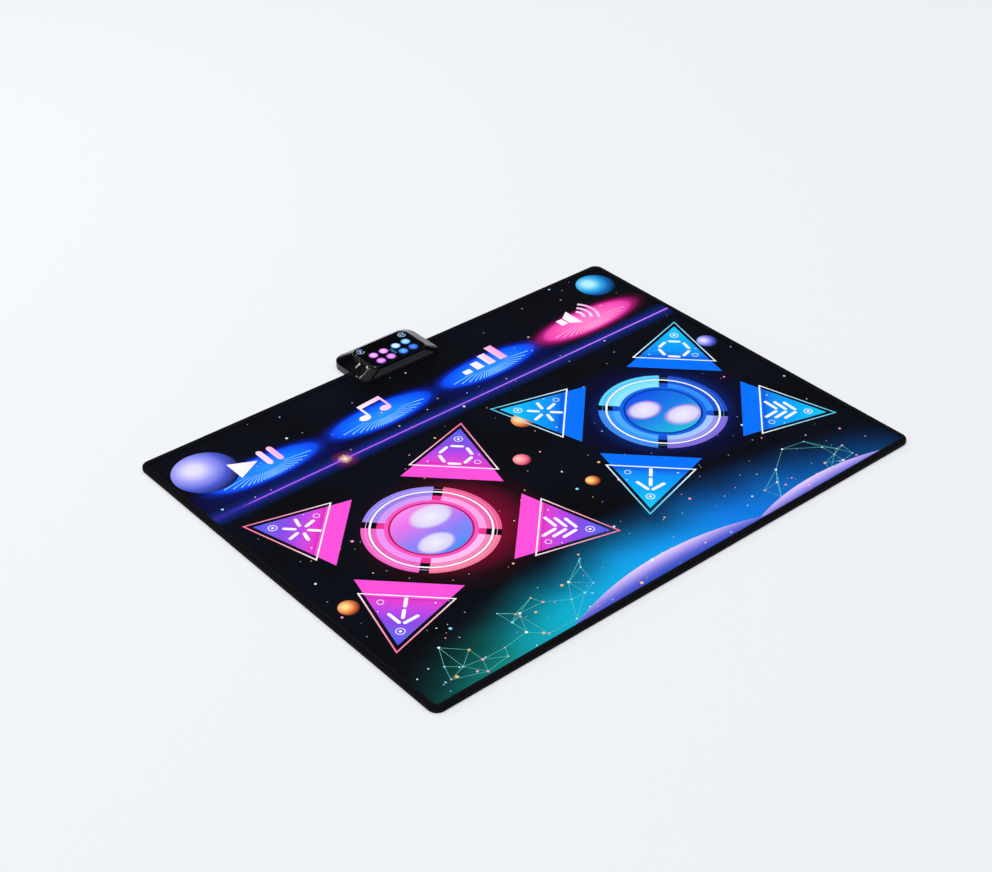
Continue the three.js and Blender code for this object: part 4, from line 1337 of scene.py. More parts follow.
# Inks of the two halves. Each step's fill is flat under its outline's base, with a darker line
# there, and blends on to its tip. The hearts blend from side to side under two pale shines.
HEART_SHINE: Stops = (
    (0.0, "#000000"), (0.12, "#8c80cc"), (0.3, "#d6cef2"), (1.0, "#ece6fb"),
)
PINK_HALF = HalfPrint(
    name="left",
    centre=-298 - 68j,
    step=PrintedCloth(
        "printed_cloth_pink_step",
        stops=(
            (0.0, "#f94fd4"), (0.25, "#f94fd4"), (0.265, "#c234b6"), (0.3, "#e038ca"),
            (0.39, "#c846d6"), (0.51, "#ad44e1"), (0.64, "#8848dc"), (0.87, "#665ee8"),
            (1.0, "#5648ee"),
        ),
        span=(STEP_FILL.base, STEP_FILL.tip),
    ),
    edge_line=PrintedCloth(
        "printed_cloth_salmon_line",
        stops=((0.0, "#fff2f4"), (0.35, "#ffb3c4"), (1.0, "#ff6f9c")),
        span=(STEP_LINE_OUTER.base, STEP_LINE_OUTER.tip),
    ),
    band_inks=shades("pink_band", "#ea5c90 #8f86ec #ef64c2 #f07898"),
    dark_inks=shades("pink_dark", "#ee66ac #9a7ee6 #e860bc #f084b4"),
    light_inks=shades("pink_light", "#f5a2dc #c89af0 #e890ec #fbb8ec"),
    gap=PrintedCloth("printed_cloth_pink_gap", hue="#e8308f"),
    full=PrintedCloth("printed_cloth_pink_full", hue="#f455bc"),
    rim=PrintedCloth("printed_cloth_crimson", hue="#b80c58"),
    heart=PrintedCloth(
        "printed_cloth_pink_heart",
        stops=((0.0, "#3f8cf0"), (0.4, "#8f7df0"), (0.75, "#e070e0"), (1.0, "#f08ae8")),
        span=(-1.0, 1.0),
        glows=(
            Glow(0.3 + 0.4j, 0.7, 0.5, HEART_SHINE),
            Glow(-0.26 - 0.5j, 0.6, 0.42, HEART_SHINE),
        ),
    ),
)
BLUE_HALF = HalfPrint(
    name="right",
    centre=298 - 68j,
    step=PrintedCloth(
        "printed_cloth_blue_step",
        stops=(
            (0.0, "#036ffb"), (0.25, "#036ffb"), (0.265, "#0a56c8"), (0.3, "#0a72e8"),
            (0.39, "#108cf0"), (0.51, "#0899f8"), (0.64, "#08a6f6"), (0.87, "#10bcf2"),
            (1.0, "#20c4f0"),
        ),
        span=(STEP_FILL.base, STEP_FILL.tip),
    ),
    edge_line=PrintedCloth(
        "printed_cloth_cyan_line",
        stops=((0.0, "#f4fbff"), (0.35, "#b4e4f8"), (1.0, "#45c8e8")),
        span=(STEP_LINE_OUTER.base, STEP_LINE_OUTER.tip),
    ),
    band_inks=shades("blue_band", "#1a48c0 #5fd0f0 #3c86e8 #8468d4"),
    dark_inks=shades("blue_dark", "#1a54d0 #74dcf8 #3092f2 #9490ec"),
    light_inks=shades("blue_light", "#2f8afa #8be0fe #48a8fc #a0c4fe"),
    gap=PrintedCloth("printed_cloth_blue_gap", hue="#1450d0"),
    full=PrintedCloth("printed_cloth_blue_full", hue="#1262e0"),
    rim=PrintedCloth("printed_cloth_navy", hue="#062c9c"),
    heart=PrintedCloth(
        "printed_cloth_blue_heart",
        stops=((0.0, "#22b4d8"), (0.5, "#1a7ce0"), (1.0, "#0f4fe0")),
        span=(-1.0, 1.0),
        glows=(
            Glow(-0.35 + 0.35j, 0.55, 0.42, HEART_SHINE),
            Glow(0.3 - 0.46j, 0.62, 0.44, HEART_SHINE),
        ),
    ),
)
HALVES = (PINK_HALF, BLUE_HALF)
GLYPHS = {
    Corner.UPPER_LEFT: Glyph.BURST,
    Corner.UPPER_RIGHT: Glyph.HEXAGON,
    Corner.LOWER_LEFT: Glyph.ARROW,
    Corner.LOWER_RIGHT: Glyph.CHEVRONS,
}


class Icon(Enum):
    """The generic sign of a menu field."""

    PLAY = "play"
    MODE = "mode"
    LEVEL = "level"
    VOLUME = "volume"

    def outlines(self) -> list[Outline]:
        """Draws the sign: play and pause, a pair of notes, rising bars or a loudspeaker.

        Returns:
            Its outlines, about its own middle.
        """
        if self is Icon.PLAY:
            return [
                [-52 - 27j, 2 + 0j, -52 + 27j],
                stroke([18 - 20j, 18 + 20j], 13, 3),
                stroke([42 - 20j, 42 + 20j], 13, 3),
            ]
        if self is Icon.MODE:
            tilted = Frame(0j, 20).laid(circle(0, 1))
            heads = [
                [middle + 13 * point.real + 9j * point.imag for point in tilted]
                for middle in (-32 - 18j, 22 - 14j)
            ]
            return [
                *heads,
                [-23 - 16j, -18 - 16j, -18 + 22j, -23 + 22j],
                [31 - 12j, 36 - 12j, 36 + 27j, 31 + 27j],
                [-23 + 12j, 36 + 17j, 36 + 29j, -23 + 24j],
            ]
        if self is Icon.LEVEL:
            return [
                [x - 27j, x + 19 - 27j, x + 19 + (high - 27) * 1j, x + (high - 27) * 1j]
                for x, high in ((-58, 14), (-27, 27), (4, 41), (35, 56))
            ]
        return [
            [-56 - 11j, -40 - 11j, -40 + 11j, -56 + 11j],
            [-36 - 12j, -12 - 28j, -12 + 28j, -36 + 12j],
            *(ring_part(-10, reach, reach + 7, -42, 42) for reach in (16, 32, 48)),
        ]


@dataclass(frozen=True)
class MenuField:
    """A menu field's print: a fan of rays and its sign, over the ground's glowing oval."""

    icon: Icon
    x: float
    ray_ink: PrintedCloth
    y: float = 298.0
    half_width: float = 125.0
    half_depth: float = 56.0
    corner: float = 30.0
    sign_rise: float = 16.0
    rays: int = 25
    # The fan opens downward, by its first angle and its opening in degrees.
    fan_drop: float = 8.0
    fan_start: float = -172.0
    fan_opening: float = 164.0
    fan_across: float = 112.0
    fan_along: float = 38.0

    def rim(self) -> Oblong:
        """Returns the field's cut edge."""
        left, right = self.x - self.half_width, self.x + self.half_width
        front, rear = self.y - self.half_depth, self.y + self.half_depth
        return Oblong(left, right, front, rear, self.corner, self.corner)

    def figures(self) -> list[Figure]:
        """Draws the fan and the sign.

        Returns:
            The figures, the lowest first.
        """
        middle = complex(self.x, self.y - self.fan_drop)
        fan: list[Figure] = []
        for ray in range(self.rays):
            angle = self.fan_start + self.fan_opening * ray / (self.rays - 1)
            way = cmath.rect(1, math.radians(angle))
            reach = 1 / math.hypot(way.real / self.fan_across, way.imag / self.fan_along)
            start, end = 0.42 * reach * way, 0.97 * reach * way
            fan.append(Figure([
                middle + start - 0.4j * way,
                middle + end - 1.2j * way,
                middle + end + 1.2j * way,
                middle + start + 0.4j * way,
            ], self.ray_ink))
        sign = Frame(complex(self.x, self.y + self.sign_rise))
        return fan + [
            Figure(sign.laid(outline), SIGN_INK, sign) for outline in self.icon.outlines()
        ]


# The signs blend from white to pink, and the rays are a pale tint of their field's oval.
SIGN_INK = PrintedCloth(
    "printed_cloth_sign",
    stops=((0.0, "#ffffff"), (0.45, "#ffe6f8"), (0.75, "#ffc4ec"), (1.0, "#ff8ad8")),
    span=(-65.0, 65.0),
    blend=Blend.ACROSS,
)
BLUE_RAY = PrintedCloth("printed_cloth_blue_ray", hue="#86ccff")
PINK_RAY = PrintedCloth("printed_cloth_pink_ray", hue="#ffb0d8")
MENU_FIELDS = (
    MenuField(Icon.PLAY, -420, BLUE_RAY),
    MenuField(Icon.MODE, -140, BLUE_RAY),
    MenuField(Icon.LEVEL, 140, BLUE_RAY),
    MenuField(Icon.VOLUME, 420, PINK_RAY),
)


def disc_ink(name: str, *hues: str) -> PrintedCloth:
    """Returns an ink that blends round a disc's lit side, from its rim to its heart."""
    stops = tuple((0.05 + 0.8 * at / (len(hues) - 1), hue) for at, hue in enumerate(hues))
    return PrintedCloth(f"printed_cloth_disc_{name}", stops=stops, blend=Blend.ROUND)


GOLD = disc_ink("gold", "#3a1208", "#c05a30", "#f0a058", "#ffd890")
CORAL = disc_ink("coral", "#58102c", "#e0607c", "#f4909c", "#ffb8b4")
LILAC = disc_ink("lilac", "#0c1240", "#4858c8", "#9898f0", "#dcd8ff")
CYAN = disc_ink("cyan", "#04203c", "#1468b8", "#3cb4e8", "#b4ecff")

# Thin lines of dull teal, a cream flare, and crescents that are pale only at their rims.
LINK_INK = PrintedCloth("printed_cloth_teal_link", hue="#5cc4b4")
FLARE_INK = PrintedCloth("printed_cloth_flare", hue="#ffe6cc")
CRESCENT_INK = PrintedCloth(
    "printed_cloth_crescent",
    stops=(
        (0.0, "#e6d2fa"), (0.006, "#bca8ee"), (0.014, "#5f66d0"), (0.022, "#2848b8"),
        (0.03, "#1a3aa0"),
    ),
    blend=Blend.ROUND,
)


@dataclass(frozen=True)
class GroundMotifs:
    """The loose motifs of the ground: dots, linked dots, soft discs, crescents and a flare."""

    seed: int = 11
    # The dots crowd towards the near edge.
    dots: int = 250
    dot_reach: float = 585.0
    dot_front: float = -436.0
    dot_depth: float = 880.0
    dot_crowding: float = 1.5
    dot_radii: tuple[float, ...] = (0.9, 1.0, 1.2, 1.5, 2.0, 2.9)
    discs: tuple[tuple[complex, float, PrintedCloth], ...] = (
        (536 + 384j, 44, CYAN),
        (-516 + 346j, 66, LILAC),
        (30 - 150j, 15, GOLD),
        (-28 - 12j, 18, CORAL),
        (62 + 88j, 24, GOLD),
        (-72 + 120j, 11, CYAN),
        (92 - 252j, 19, CORAL),
        (-548 - 150j, 20, GOLD),
        (556 + 60j, 22, LILAC),
    )
    # A disc's blend has its heart off its middle and reaches past its rim, in radii.
    disc_heart: complex = -0.22 + 0.3j
    disc_reach: float = 1.4
    # Each group of linked dots, by its left, right, front and rear ends and its count.
    groups: tuple[tuple[float, float, float, float, int], ...] = (
        (-530.0, -150.0, -432.0, -308.0, 26),
        (250.0, 560.0, -430.0, -300.0, 14),
    )
    link_width: float = 0.8
    # Each crescent, by its middle, half its length and its rise over the mat's near edge.
    rises: tuple[Spot, ...] = ((350.0, 210.0, 40.0), (-40.0, 270.0, 58.0))
    flare: complex = -286 + 210.5j
    flare_rays: int = 8
    flare_reach: float = 9.0

    def figures(self) -> list[Figure]:
        """Draws all the motifs but the flare.

        Returns:
            The figures, the lowest first.
        """
        draw = random.Random(self.seed)
        inks = shades("dot", "#f4f4fb #ff9ab4 #f0c070 #8fd4ff")
        found = [*self.crescents(), *self.network(draw, inks)]
        for _ in range(self.dots):
            depth = draw.random() ** self.dot_crowding
            across = draw.uniform(-self.dot_reach, self.dot_reach)
            place = complex(across, self.dot_front + self.dot_depth * depth)
            radius = draw.choice(self.dot_radii) * draw.uniform(0.8, 1.25)
            found.append(Figure(circle(place, radius, 8), draw.choice(inks)))
        for centre, radius, ink in self.discs:
            lit = Frame(centre + self.disc_heart * radius, 0, self.disc_reach * radius)
            found.append(Figure(circle(centre, radius, 48), ink, lit))
        return found

    def network(self, draw: random.Random, inks: Sequence[PrintedCloth]) -> list[Figure]:
        """Draws groups of dots, each dot linked to its three nearest by thin lines.

        Args:
            draw: The source of the dots' places.
            inks: The inks that the dots are picked from.

        Returns:
            The links, then the dots.
        """
        links: list[Figure] = []
        knots: list[Figure] = []
        for left, right, front, rear, count in self.groups:
            places = [
                complex(draw.uniform(left, right), draw.uniform(front, rear))
                for _ in range(count)
            ]
            pairs: set[tuple[int, int]] = set()
            for at, place in enumerate(places):
                nearest = sorted(range(count), key=lambda other: abs(places[other] - place))
                pairs.update((min(at, other), max(at, other)) for other in nearest[1:4])
            links.extend(
                Figure(stroke([places[at], places[other]], self.link_width, 1), LINK_INK)
                for at, other in sorted(pairs)
            )
            knots.extend(
                Figure(circle(place, draw.uniform(1.6, 3.0), 8), draw.choice(inks))
                for place in places
            )
        return links + knots

    def crescents(self) -> list[Figure]:
        """Draws soft crescents that rise over the near edge, pale at the rim.

        Returns:
            The crescents.
        """
        found: list[Figure] = []
        for middle, half, rise in self.rises:
            radius = (half**2 + rise**2) / (2 * rise)
            crest = complex(middle, MAT_EDGE.front + rise)
            spread = math.degrees(math.asin(half / radius))
            # The blend's own circle is three times as wide, so that the rim fades to the ends.
            blend = 3 * radius
            found.append(Figure(
                arc(crest - radius * 1j, radius, 90 - spread, 90 + spread, 40),
                CRESCENT_INK,
                Frame(crest - blend * 1j, 0, blend),
            ))
        return found

    def flares(self) -> list[Figure]:
        """Draws the flare on the dividing line, with every second ray twice as long.

        Returns:
            Its thin rays and its heart.
        """
        found: list[Figure] = []
        for ray in range(self.flare_rays):
            way = cmath.rect(1, math.tau * (ray + 0.5) / self.flare_rays)
            tip = self.flare + self.flare_reach * (1 + ray % 2) * way
            outline = [self.flare - 0.8j * way, tip, self.flare + 0.8j * way]
            found.append(Figure(outline, FLARE_INK))
        return [*found, Figure(circle(self.flare, 3, 12), FLARE_INK)]


# The ground is near black, and the dividing line runs from dark violet to a bright lilac.
GROUND = GroundPrint("printed_cloth_ground")
LINE_INK = PrintedCloth(
    "printed_cloth_dividing_line",
    stops=(
        (0.0, "#241a70"), (0.055, "#3a2ba0"), (0.085, "#b25cf2"), (0.5, "#b670ee"),
        (1.0, "#d28af0"),
    ),
    span=(-PRINT_REACH, PRINT_REACH),
    blend=Blend.ACROSS,
)
LINE_WIDTH = 3.0


def artwork() -> tuple[Figure, ...]:
    """Draws the whole print.

    Returns:
        All its figures, the lowest first.
    """
    low, high = GROUND.line_y - LINE_WIDTH / 2, GROUND.line_y + LINE_WIDTH / 2
    line = [
        complex(-PRINT_REACH, low), complex(PRINT_REACH, low),
        complex(PRINT_REACH, high), complex(-PRINT_REACH, high),
    ]
    motifs = GroundMotifs()
    found = [*motifs.figures(), Figure(line, LINE_INK), *motifs.flares()]
    for half in HALVES:
        found.extend(half.ring())
        for corner, frame_of_step in half.steps().items():
            found.extend(half.step_figures(frame_of_step, GLYPHS[corner]))
    for menu in MENU_FIELDS:
        found.extend(menu.figures())
    return tuple(found)


# Soft layers

LAYER_INSET = 1.1
COVER_WINDOW_MARGIN = 0.08
FOAM_WINDOW_MARGIN = 0.4
PAD_CORNER = 8.0
PAD_CORNER_REACH = 124.8
PAD_PART = 9.0


def step_rim(axes: Frame, margin: float) -> Outline:
    """Returns a step's cut edge, a triangle with round corners.

    Args:
        axes: The step's axes.
        margin: How much larger it is than the pad, all round.

    Returns:
        The outline on the mat.
    """
    return axes.laid([
        point
        for turn in (90, 210, 330)
        for point in arc(
            cmath.rect(PAD_CORNER_REACH, math.radians(turn)),
            PAD_CORNER + margin, turn - 60, turn + 60, 10,
        )
    ])


def pad_rims(margin: float) -> dict[str, Outline]:
    """Returns the cut edges of the steps and menu fields.

    Args:
        margin: How much larger each is than its pad, all round.

    Returns:
        Each outline by its pad's name.
    """
    rims = {
        half.pad_name(corner): step_rim(axes, margin)
        for half in HALVES
        for corner, axes in half.steps().items()
    }
    for menu in MENU_FIELDS:
        rims[f"{menu.icon.value}_menu_pad"] = menu.rim().outline(-margin)
    return {name: divided(rim, PAD_PART) for name, rim in rims.items()}


@dataclass(frozen=True)
class PrintedLayers:
    """The printed cover and the pads cut in it, one print over them all."""

    top: float = 10.0
    cover_bottom: float = 9.3
    pad_bottom: float = 8.3

    def build(self) -> list[Piece]:
        """Builds the cover and the twelve pads.

        Returns:
            The cover, then the pads.
        """
        figures = artwork()
        return [self.cover(figures)] + [
            self.pad(name, rim, figures) for name, rim in pad_rims(0.0).items()
        ]

    def cover(self, figures: tuple[Figure, ...]) -> Piece:
        """Builds the cover, with a window for each pad.

        Args:
            figures: The whole print.

        Returns:
            The cover.
        """
        slab = Slab(
            MAT_EDGE.outline(LAYER_INSET), self.cover_bottom, self.top, GROUND,
            tuple(pad_rims(COVER_WINDOW_MARGIN).values()), figures,
        )
        shape = Shape()
        slab.add_to(shape)
        made = shape.piece("printed_cover")
        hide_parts("top_sheet")
        slab.sheet()
        return made

    def pad(self, name: str, rim: Outline, figures: tuple[Figure, ...]) -> Piece:
        """Builds one pad, with the part of the print that lies on it.

        Args:
            name: The pad's name.
            rim: Its cut edge.
            figures: The whole print.

        Returns:
            The pad.
        """
        slab = Slab(rim, self.pad_bottom, self.top, GROUND, figures=figures)
        shape = Shape()
        slab.add_to(shape)
        slots = {"left": "pink_print", "right": "blue_print"}
        slot = slots.get(name.split("_")[0], "menu_print")
        made = shape.piece(f"{name}_sheet", body=name)
        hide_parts(name)
        slab.sheet()
        return made


@dataclass(frozen=True)
class EdgeTape:
    """The woven tape folded round the layers' edges, and the row of stitches that holds it."""

    width: float = 12.0
    unfolded: float = 33.5
    thickness: float = 0.8
    bottom: float = 0.2
    top: float = 11.1
    pucker: float = 0.25
    stitch_inset: float = 9.4
    stitch_pitch: float = 4.2
    thread_half: float = 0.35
    # A stitch's rise at shares of its length, and its section as sides and rises.
    stitch_arch: tuple[tuple[float, float], ...] = (
        (0.06, -0.3), (0.2, 0.02), (0.5, 0.1), (0.8, 0.02), (0.94, -0.3),
    )
    stitch_section: tuple[tuple[float, float], ...] = (
        (-1.0, 0.0), (-0.6, 0.14), (0.6, 0.14), (1.0, 0.0), (0.0, -0.2),
    )
    # Matt black tape, and a thread that is a shade lighter, so that its stitches show.
    cloth: WovenTape = WovenTape("twill_tape_black")
    thread: WovenTape = WovenTape("twisted_thread_black", hue="#26262e", rib=0.7, depth=0.05)

    def path(self) -> tuple[Outline, Outline]:
        """Lays out the tape's run round the mat.

        Returns:
            Its points, two to each stitch, and the inward direction at each.
        """
        edge = MAT_EDGE.outline(0, 40)
        points = spaced(edge, 2 * round(length_of(edge) / self.stitch_pitch))
        ways = [points[(at + 1) % len(points)] - points[at - 1] for at in range(len(points))]
        return points, [way / abs(way) * 1j for way in ways]

    def profile(self, pucker: float) -> list[tuple[float, float]]:
        """Draws the fold's profile.

        Args:
            pucker: How deep the stitches pull it in.

        Returns:
            Its points as insets and heights, clockwise from its lower lip.
        """
        low, high, thin = self.bottom, self.top, self.thickness
        return [
            (self.width, low + thin), (self.width, low + 0.15), (self.width - 0.3, low),
            (self.stitch_inset, low + pucker), (self.width / 2, low),
            (2.4, low + 0.05), (1.0, low + 0.5), (0.25, low + 1.4), (0, low + 2.8),
            (0, high - 2.8), (0.25, high - 1.4), (1.0, high - 0.45), (2.4, high - 0.05),
            (self.width / 2, high - 0.05), (self.stitch_inset - 1, high - 0.1),
            (self.stitch_inset, high - 0.12 - pucker), (self.stitch_inset + 1, high - 0.08),
            (self.width - 0.4, high), (self.width, high - 0.2), (self.width, high - thin),
            (thin + 0.9, high - thin), (thin + 0.3, high - thin - 0.8),
            (thin + 0.3, low + thin + 0.8), (thin + 0.9, low + thin),
        ]

    def build(self) -> list[Piece]:
        """Builds the tape and its stitches.

        Returns:
            The two pieces.
        """
        points, inward = self.path()
        shape = Shape()
        rows = [
            shape.row([
                (point + way * inset, height)
                for inset, height in self.profile(0.0 if at % 2 else self.pucker)
            ])
            for at, (point, way) in enumerate(zip(points, inward))
        ]
        for at, row in enumerate(rows):
            shape.bridge(row, rows[at - 1], self.cloth)
        tape = shape.piece("edge_tape", crease=50)
        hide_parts("edge_binding")
        return [tape, self.stitches(points, inward)]

    def stitches(self, points: Outline, inward: Outline) -> Piece:
        """Builds the stitches, each a short arch of thread between two needle holes.

        Args:
            points: The tape's points, two to each stitch.
            inward: The inward direction at each.

        Returns:
            The stitches on both faces, as one piece.
        """
        shape = Shape()
        for at in range(0, len(points), 2):
            start = points[at] + inward[at] * self.stitch_inset
            after = (at + 2) % len(points)
            end = points[after] + inward[after] * self.stitch_inset
            for height, way in ((self.top - 0.1, 1), (self.bottom + 0.1, -1)):
                self.stitch(shape, start, end, height, way)
        return shape.piece("edge_stitching", crease=80)

    def stitch(self, shape: Shape, start: complex, end: complex, height: float, way: int) -> None:
        """Adds one stitch to a shape.

        Args:
            shape: The shape that all the stitches are in.
            start: The needle hole it leaves.
            end: The needle hole it enters.
            height: The height of the tape's face.
            way: 1 for the upper face and -1 for the lower one.
        """
        across = (end - start) / abs(end - start) * 1j * self.thread_half
        rows = [
            shape.row([
                (start + (end - start) * share + across * side, height + way * (rise + lift))
                for side, rise in self.stitch_section
            ])
            for share, lift in self.stitch_arch
        ]
        ordered = rows[::-1] if way > 0 else rows
        for lower, upper in zip(ordered, ordered[1:]):
            shape.bridge(lower, upper, self.thread)
        shape.face(ordered[0][::-1], self.thread)
        shape.face(ordered[-1], self.thread)


@dataclass(frozen=True)
class InnerLayers:
    """The backing with its grip dots, and the two foams."""

    dot_pitch: float = 16.0
    dot_rows: int = 27
    dot_columns: int = 36
    dot_reach: float = 582.0
    dot_radius: float = 2.6
    # A grip dot's loops, by their shares of its radius and their heights.
    dot_profile: tuple[tuple[float, float], ...] = ((0.5, 0.0), (0.85, 0.25), (1.0, 1.4))
    cloth_bottom: float = 1.35
    cloth_top: float = 2.0
    clamp_opening: Oblong = Oblong(-58.4, 58.4, 399.6, 430.4, 5.4, 5.4)
    clamp_margin: float = 5.0
    # Needle felt: dull and dark, with a fuzzy grain.
    cloth: Moulded = Moulded(
        "nonwoven_backing_grey", hue="#26262a", roughness=0.95, specular=0.15, grain=0.9,
        depth=0.2,
    )
    # Screen-printed rubber: blacker than the felt, with a faint shine.
    rubber: Moulded = Moulded(
        "rubber_grip_dot", hue="#141416", roughness=0.6, specular=0.4, grain=0.5
    )
    # Closed-cell foam: a chalky grey with small round cells.
    foam: Moulded = Moulded(
        "foam_blown_grey", hue="#8f9194", roughness=0.9, specular=0.2, grain=1.6, depth=0.25,
        cellular=True,
    )

    def build(self) -> list[Piece]:
        """Builds the three layers.

        Returns:
            The backing, the spacer foam and the cushion foam.
        """
        windows = tuple(pad_rims(FOAM_WINDOW_MARGIN).values())
        return [
            self.backing(),
            self.foam_layer("spacer_foam", windows),
            self.foam_layer("cushion_foam", ()),
        ]

    def foam_layer(self, node: str, windows: tuple[Outline, ...]) -> Piece:
        """Builds one sheet of foam.

        Args:
            node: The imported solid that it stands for.
            windows: Its openings.

        Returns:
            The sheet.
        """
        low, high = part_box(node)
        slab = Slab(
            MAT_EDGE.outline(LAYER_INSET), low.z / MM, high.z / MM, self.foam, windows,
            sag=0.1, pitch=60,
        )
        shape = Shape()
        slab.add_to(shape)
        made = shape.piece(f"{node}_sheet")
        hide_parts(node)
        return made

    def backing(self) -> Piece:
        """Builds the backing cloth with its dots, open round the clamp plate.

        Returns:
            The backing.
        """
        shape = Shape()
        opening, margin = self.clamp_opening, self.clamp_margin
        hem = Slab(
            MAT_EDGE.outline(LAYER_INSET), self.cloth_bottom, self.cloth_top, self.cloth,
            (opening.outline(),), sag=0, pitch=60,
        )
        hem.add_to(shape)
        for row in range(-self.dot_rows, self.dot_rows + 1):
            for column in range(-self.dot_columns, self.dot_columns + 1):
                # Every second row is moved by half a pitch.
                spot = complex((column + 0.5 * (row % 2)) * self.dot_pitch, row * self.dot_pitch)
                near_clamp = (
                    opening.left - margin < spot.real < opening.right + margin
                    and opening.front - margin < spot.imag < opening.rear + margin
                )
                if abs(spot.real) < self.dot_reach and not near_clamp:
                    self.dot(shape, spot)
        made = shape.piece("grip_backing")
        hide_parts("anti_slip_backing")
        hem.sheet()
        return made

    def dot(self, shape: Shape, spot: complex) -> None:
        """Adds one low bead of rubber under the cloth, round a spot."""
        loops = [
            (circle(spot, self.dot_radius * share, 7), height)
            for share, height in self.dot_profile
        ]
        shape.stack(loops, self.rubber)


# Console

# Polished ABS: a deep black mirror. The shell's faces bulge slightly, and the long shallow wave
# stands for that: it bends the lamps' mirror images into short streaks.
GLOSS_ABS = Moulded(
    "abs_polished_black", hue="#030305", roughness=0.05, specular=0.24, grain=32, depth=2.2
)
# Spark-eroded ABS: a soft black with a fine even grain.
SATIN_ABS = Moulded("abs_spark_eroded_black", hue="#16161a", roughness=0.42, grain=0.5)
# Pad-printed ink: thin, flat and slightly duller than the polish round it.
PANEL_PRINT = PrintedCloth("pad_printed_pale_blue", hue="#bcd8ff")
PANEL_CYAN = PrintedCloth("pad_printed_cyan", hue="#2f9be8")

# The signal lights stand in two clusters of two rows and two columns.
CLUSTERS = {"left": -29.0, "right": 29.0}
LIGHT_ROWS = {"front": 411.0, "rear": 437.0}
LIGHT_COLUMNS = {"left": -13.0, "right": 13.0}


def light_spot(cluster: str, row: str, column: str) -> complex:
    """Returns a signal light's middle."""
    return complex(CLUSTERS[cluster] + LIGHT_COLUMNS[column], LIGHT_ROWS[row])


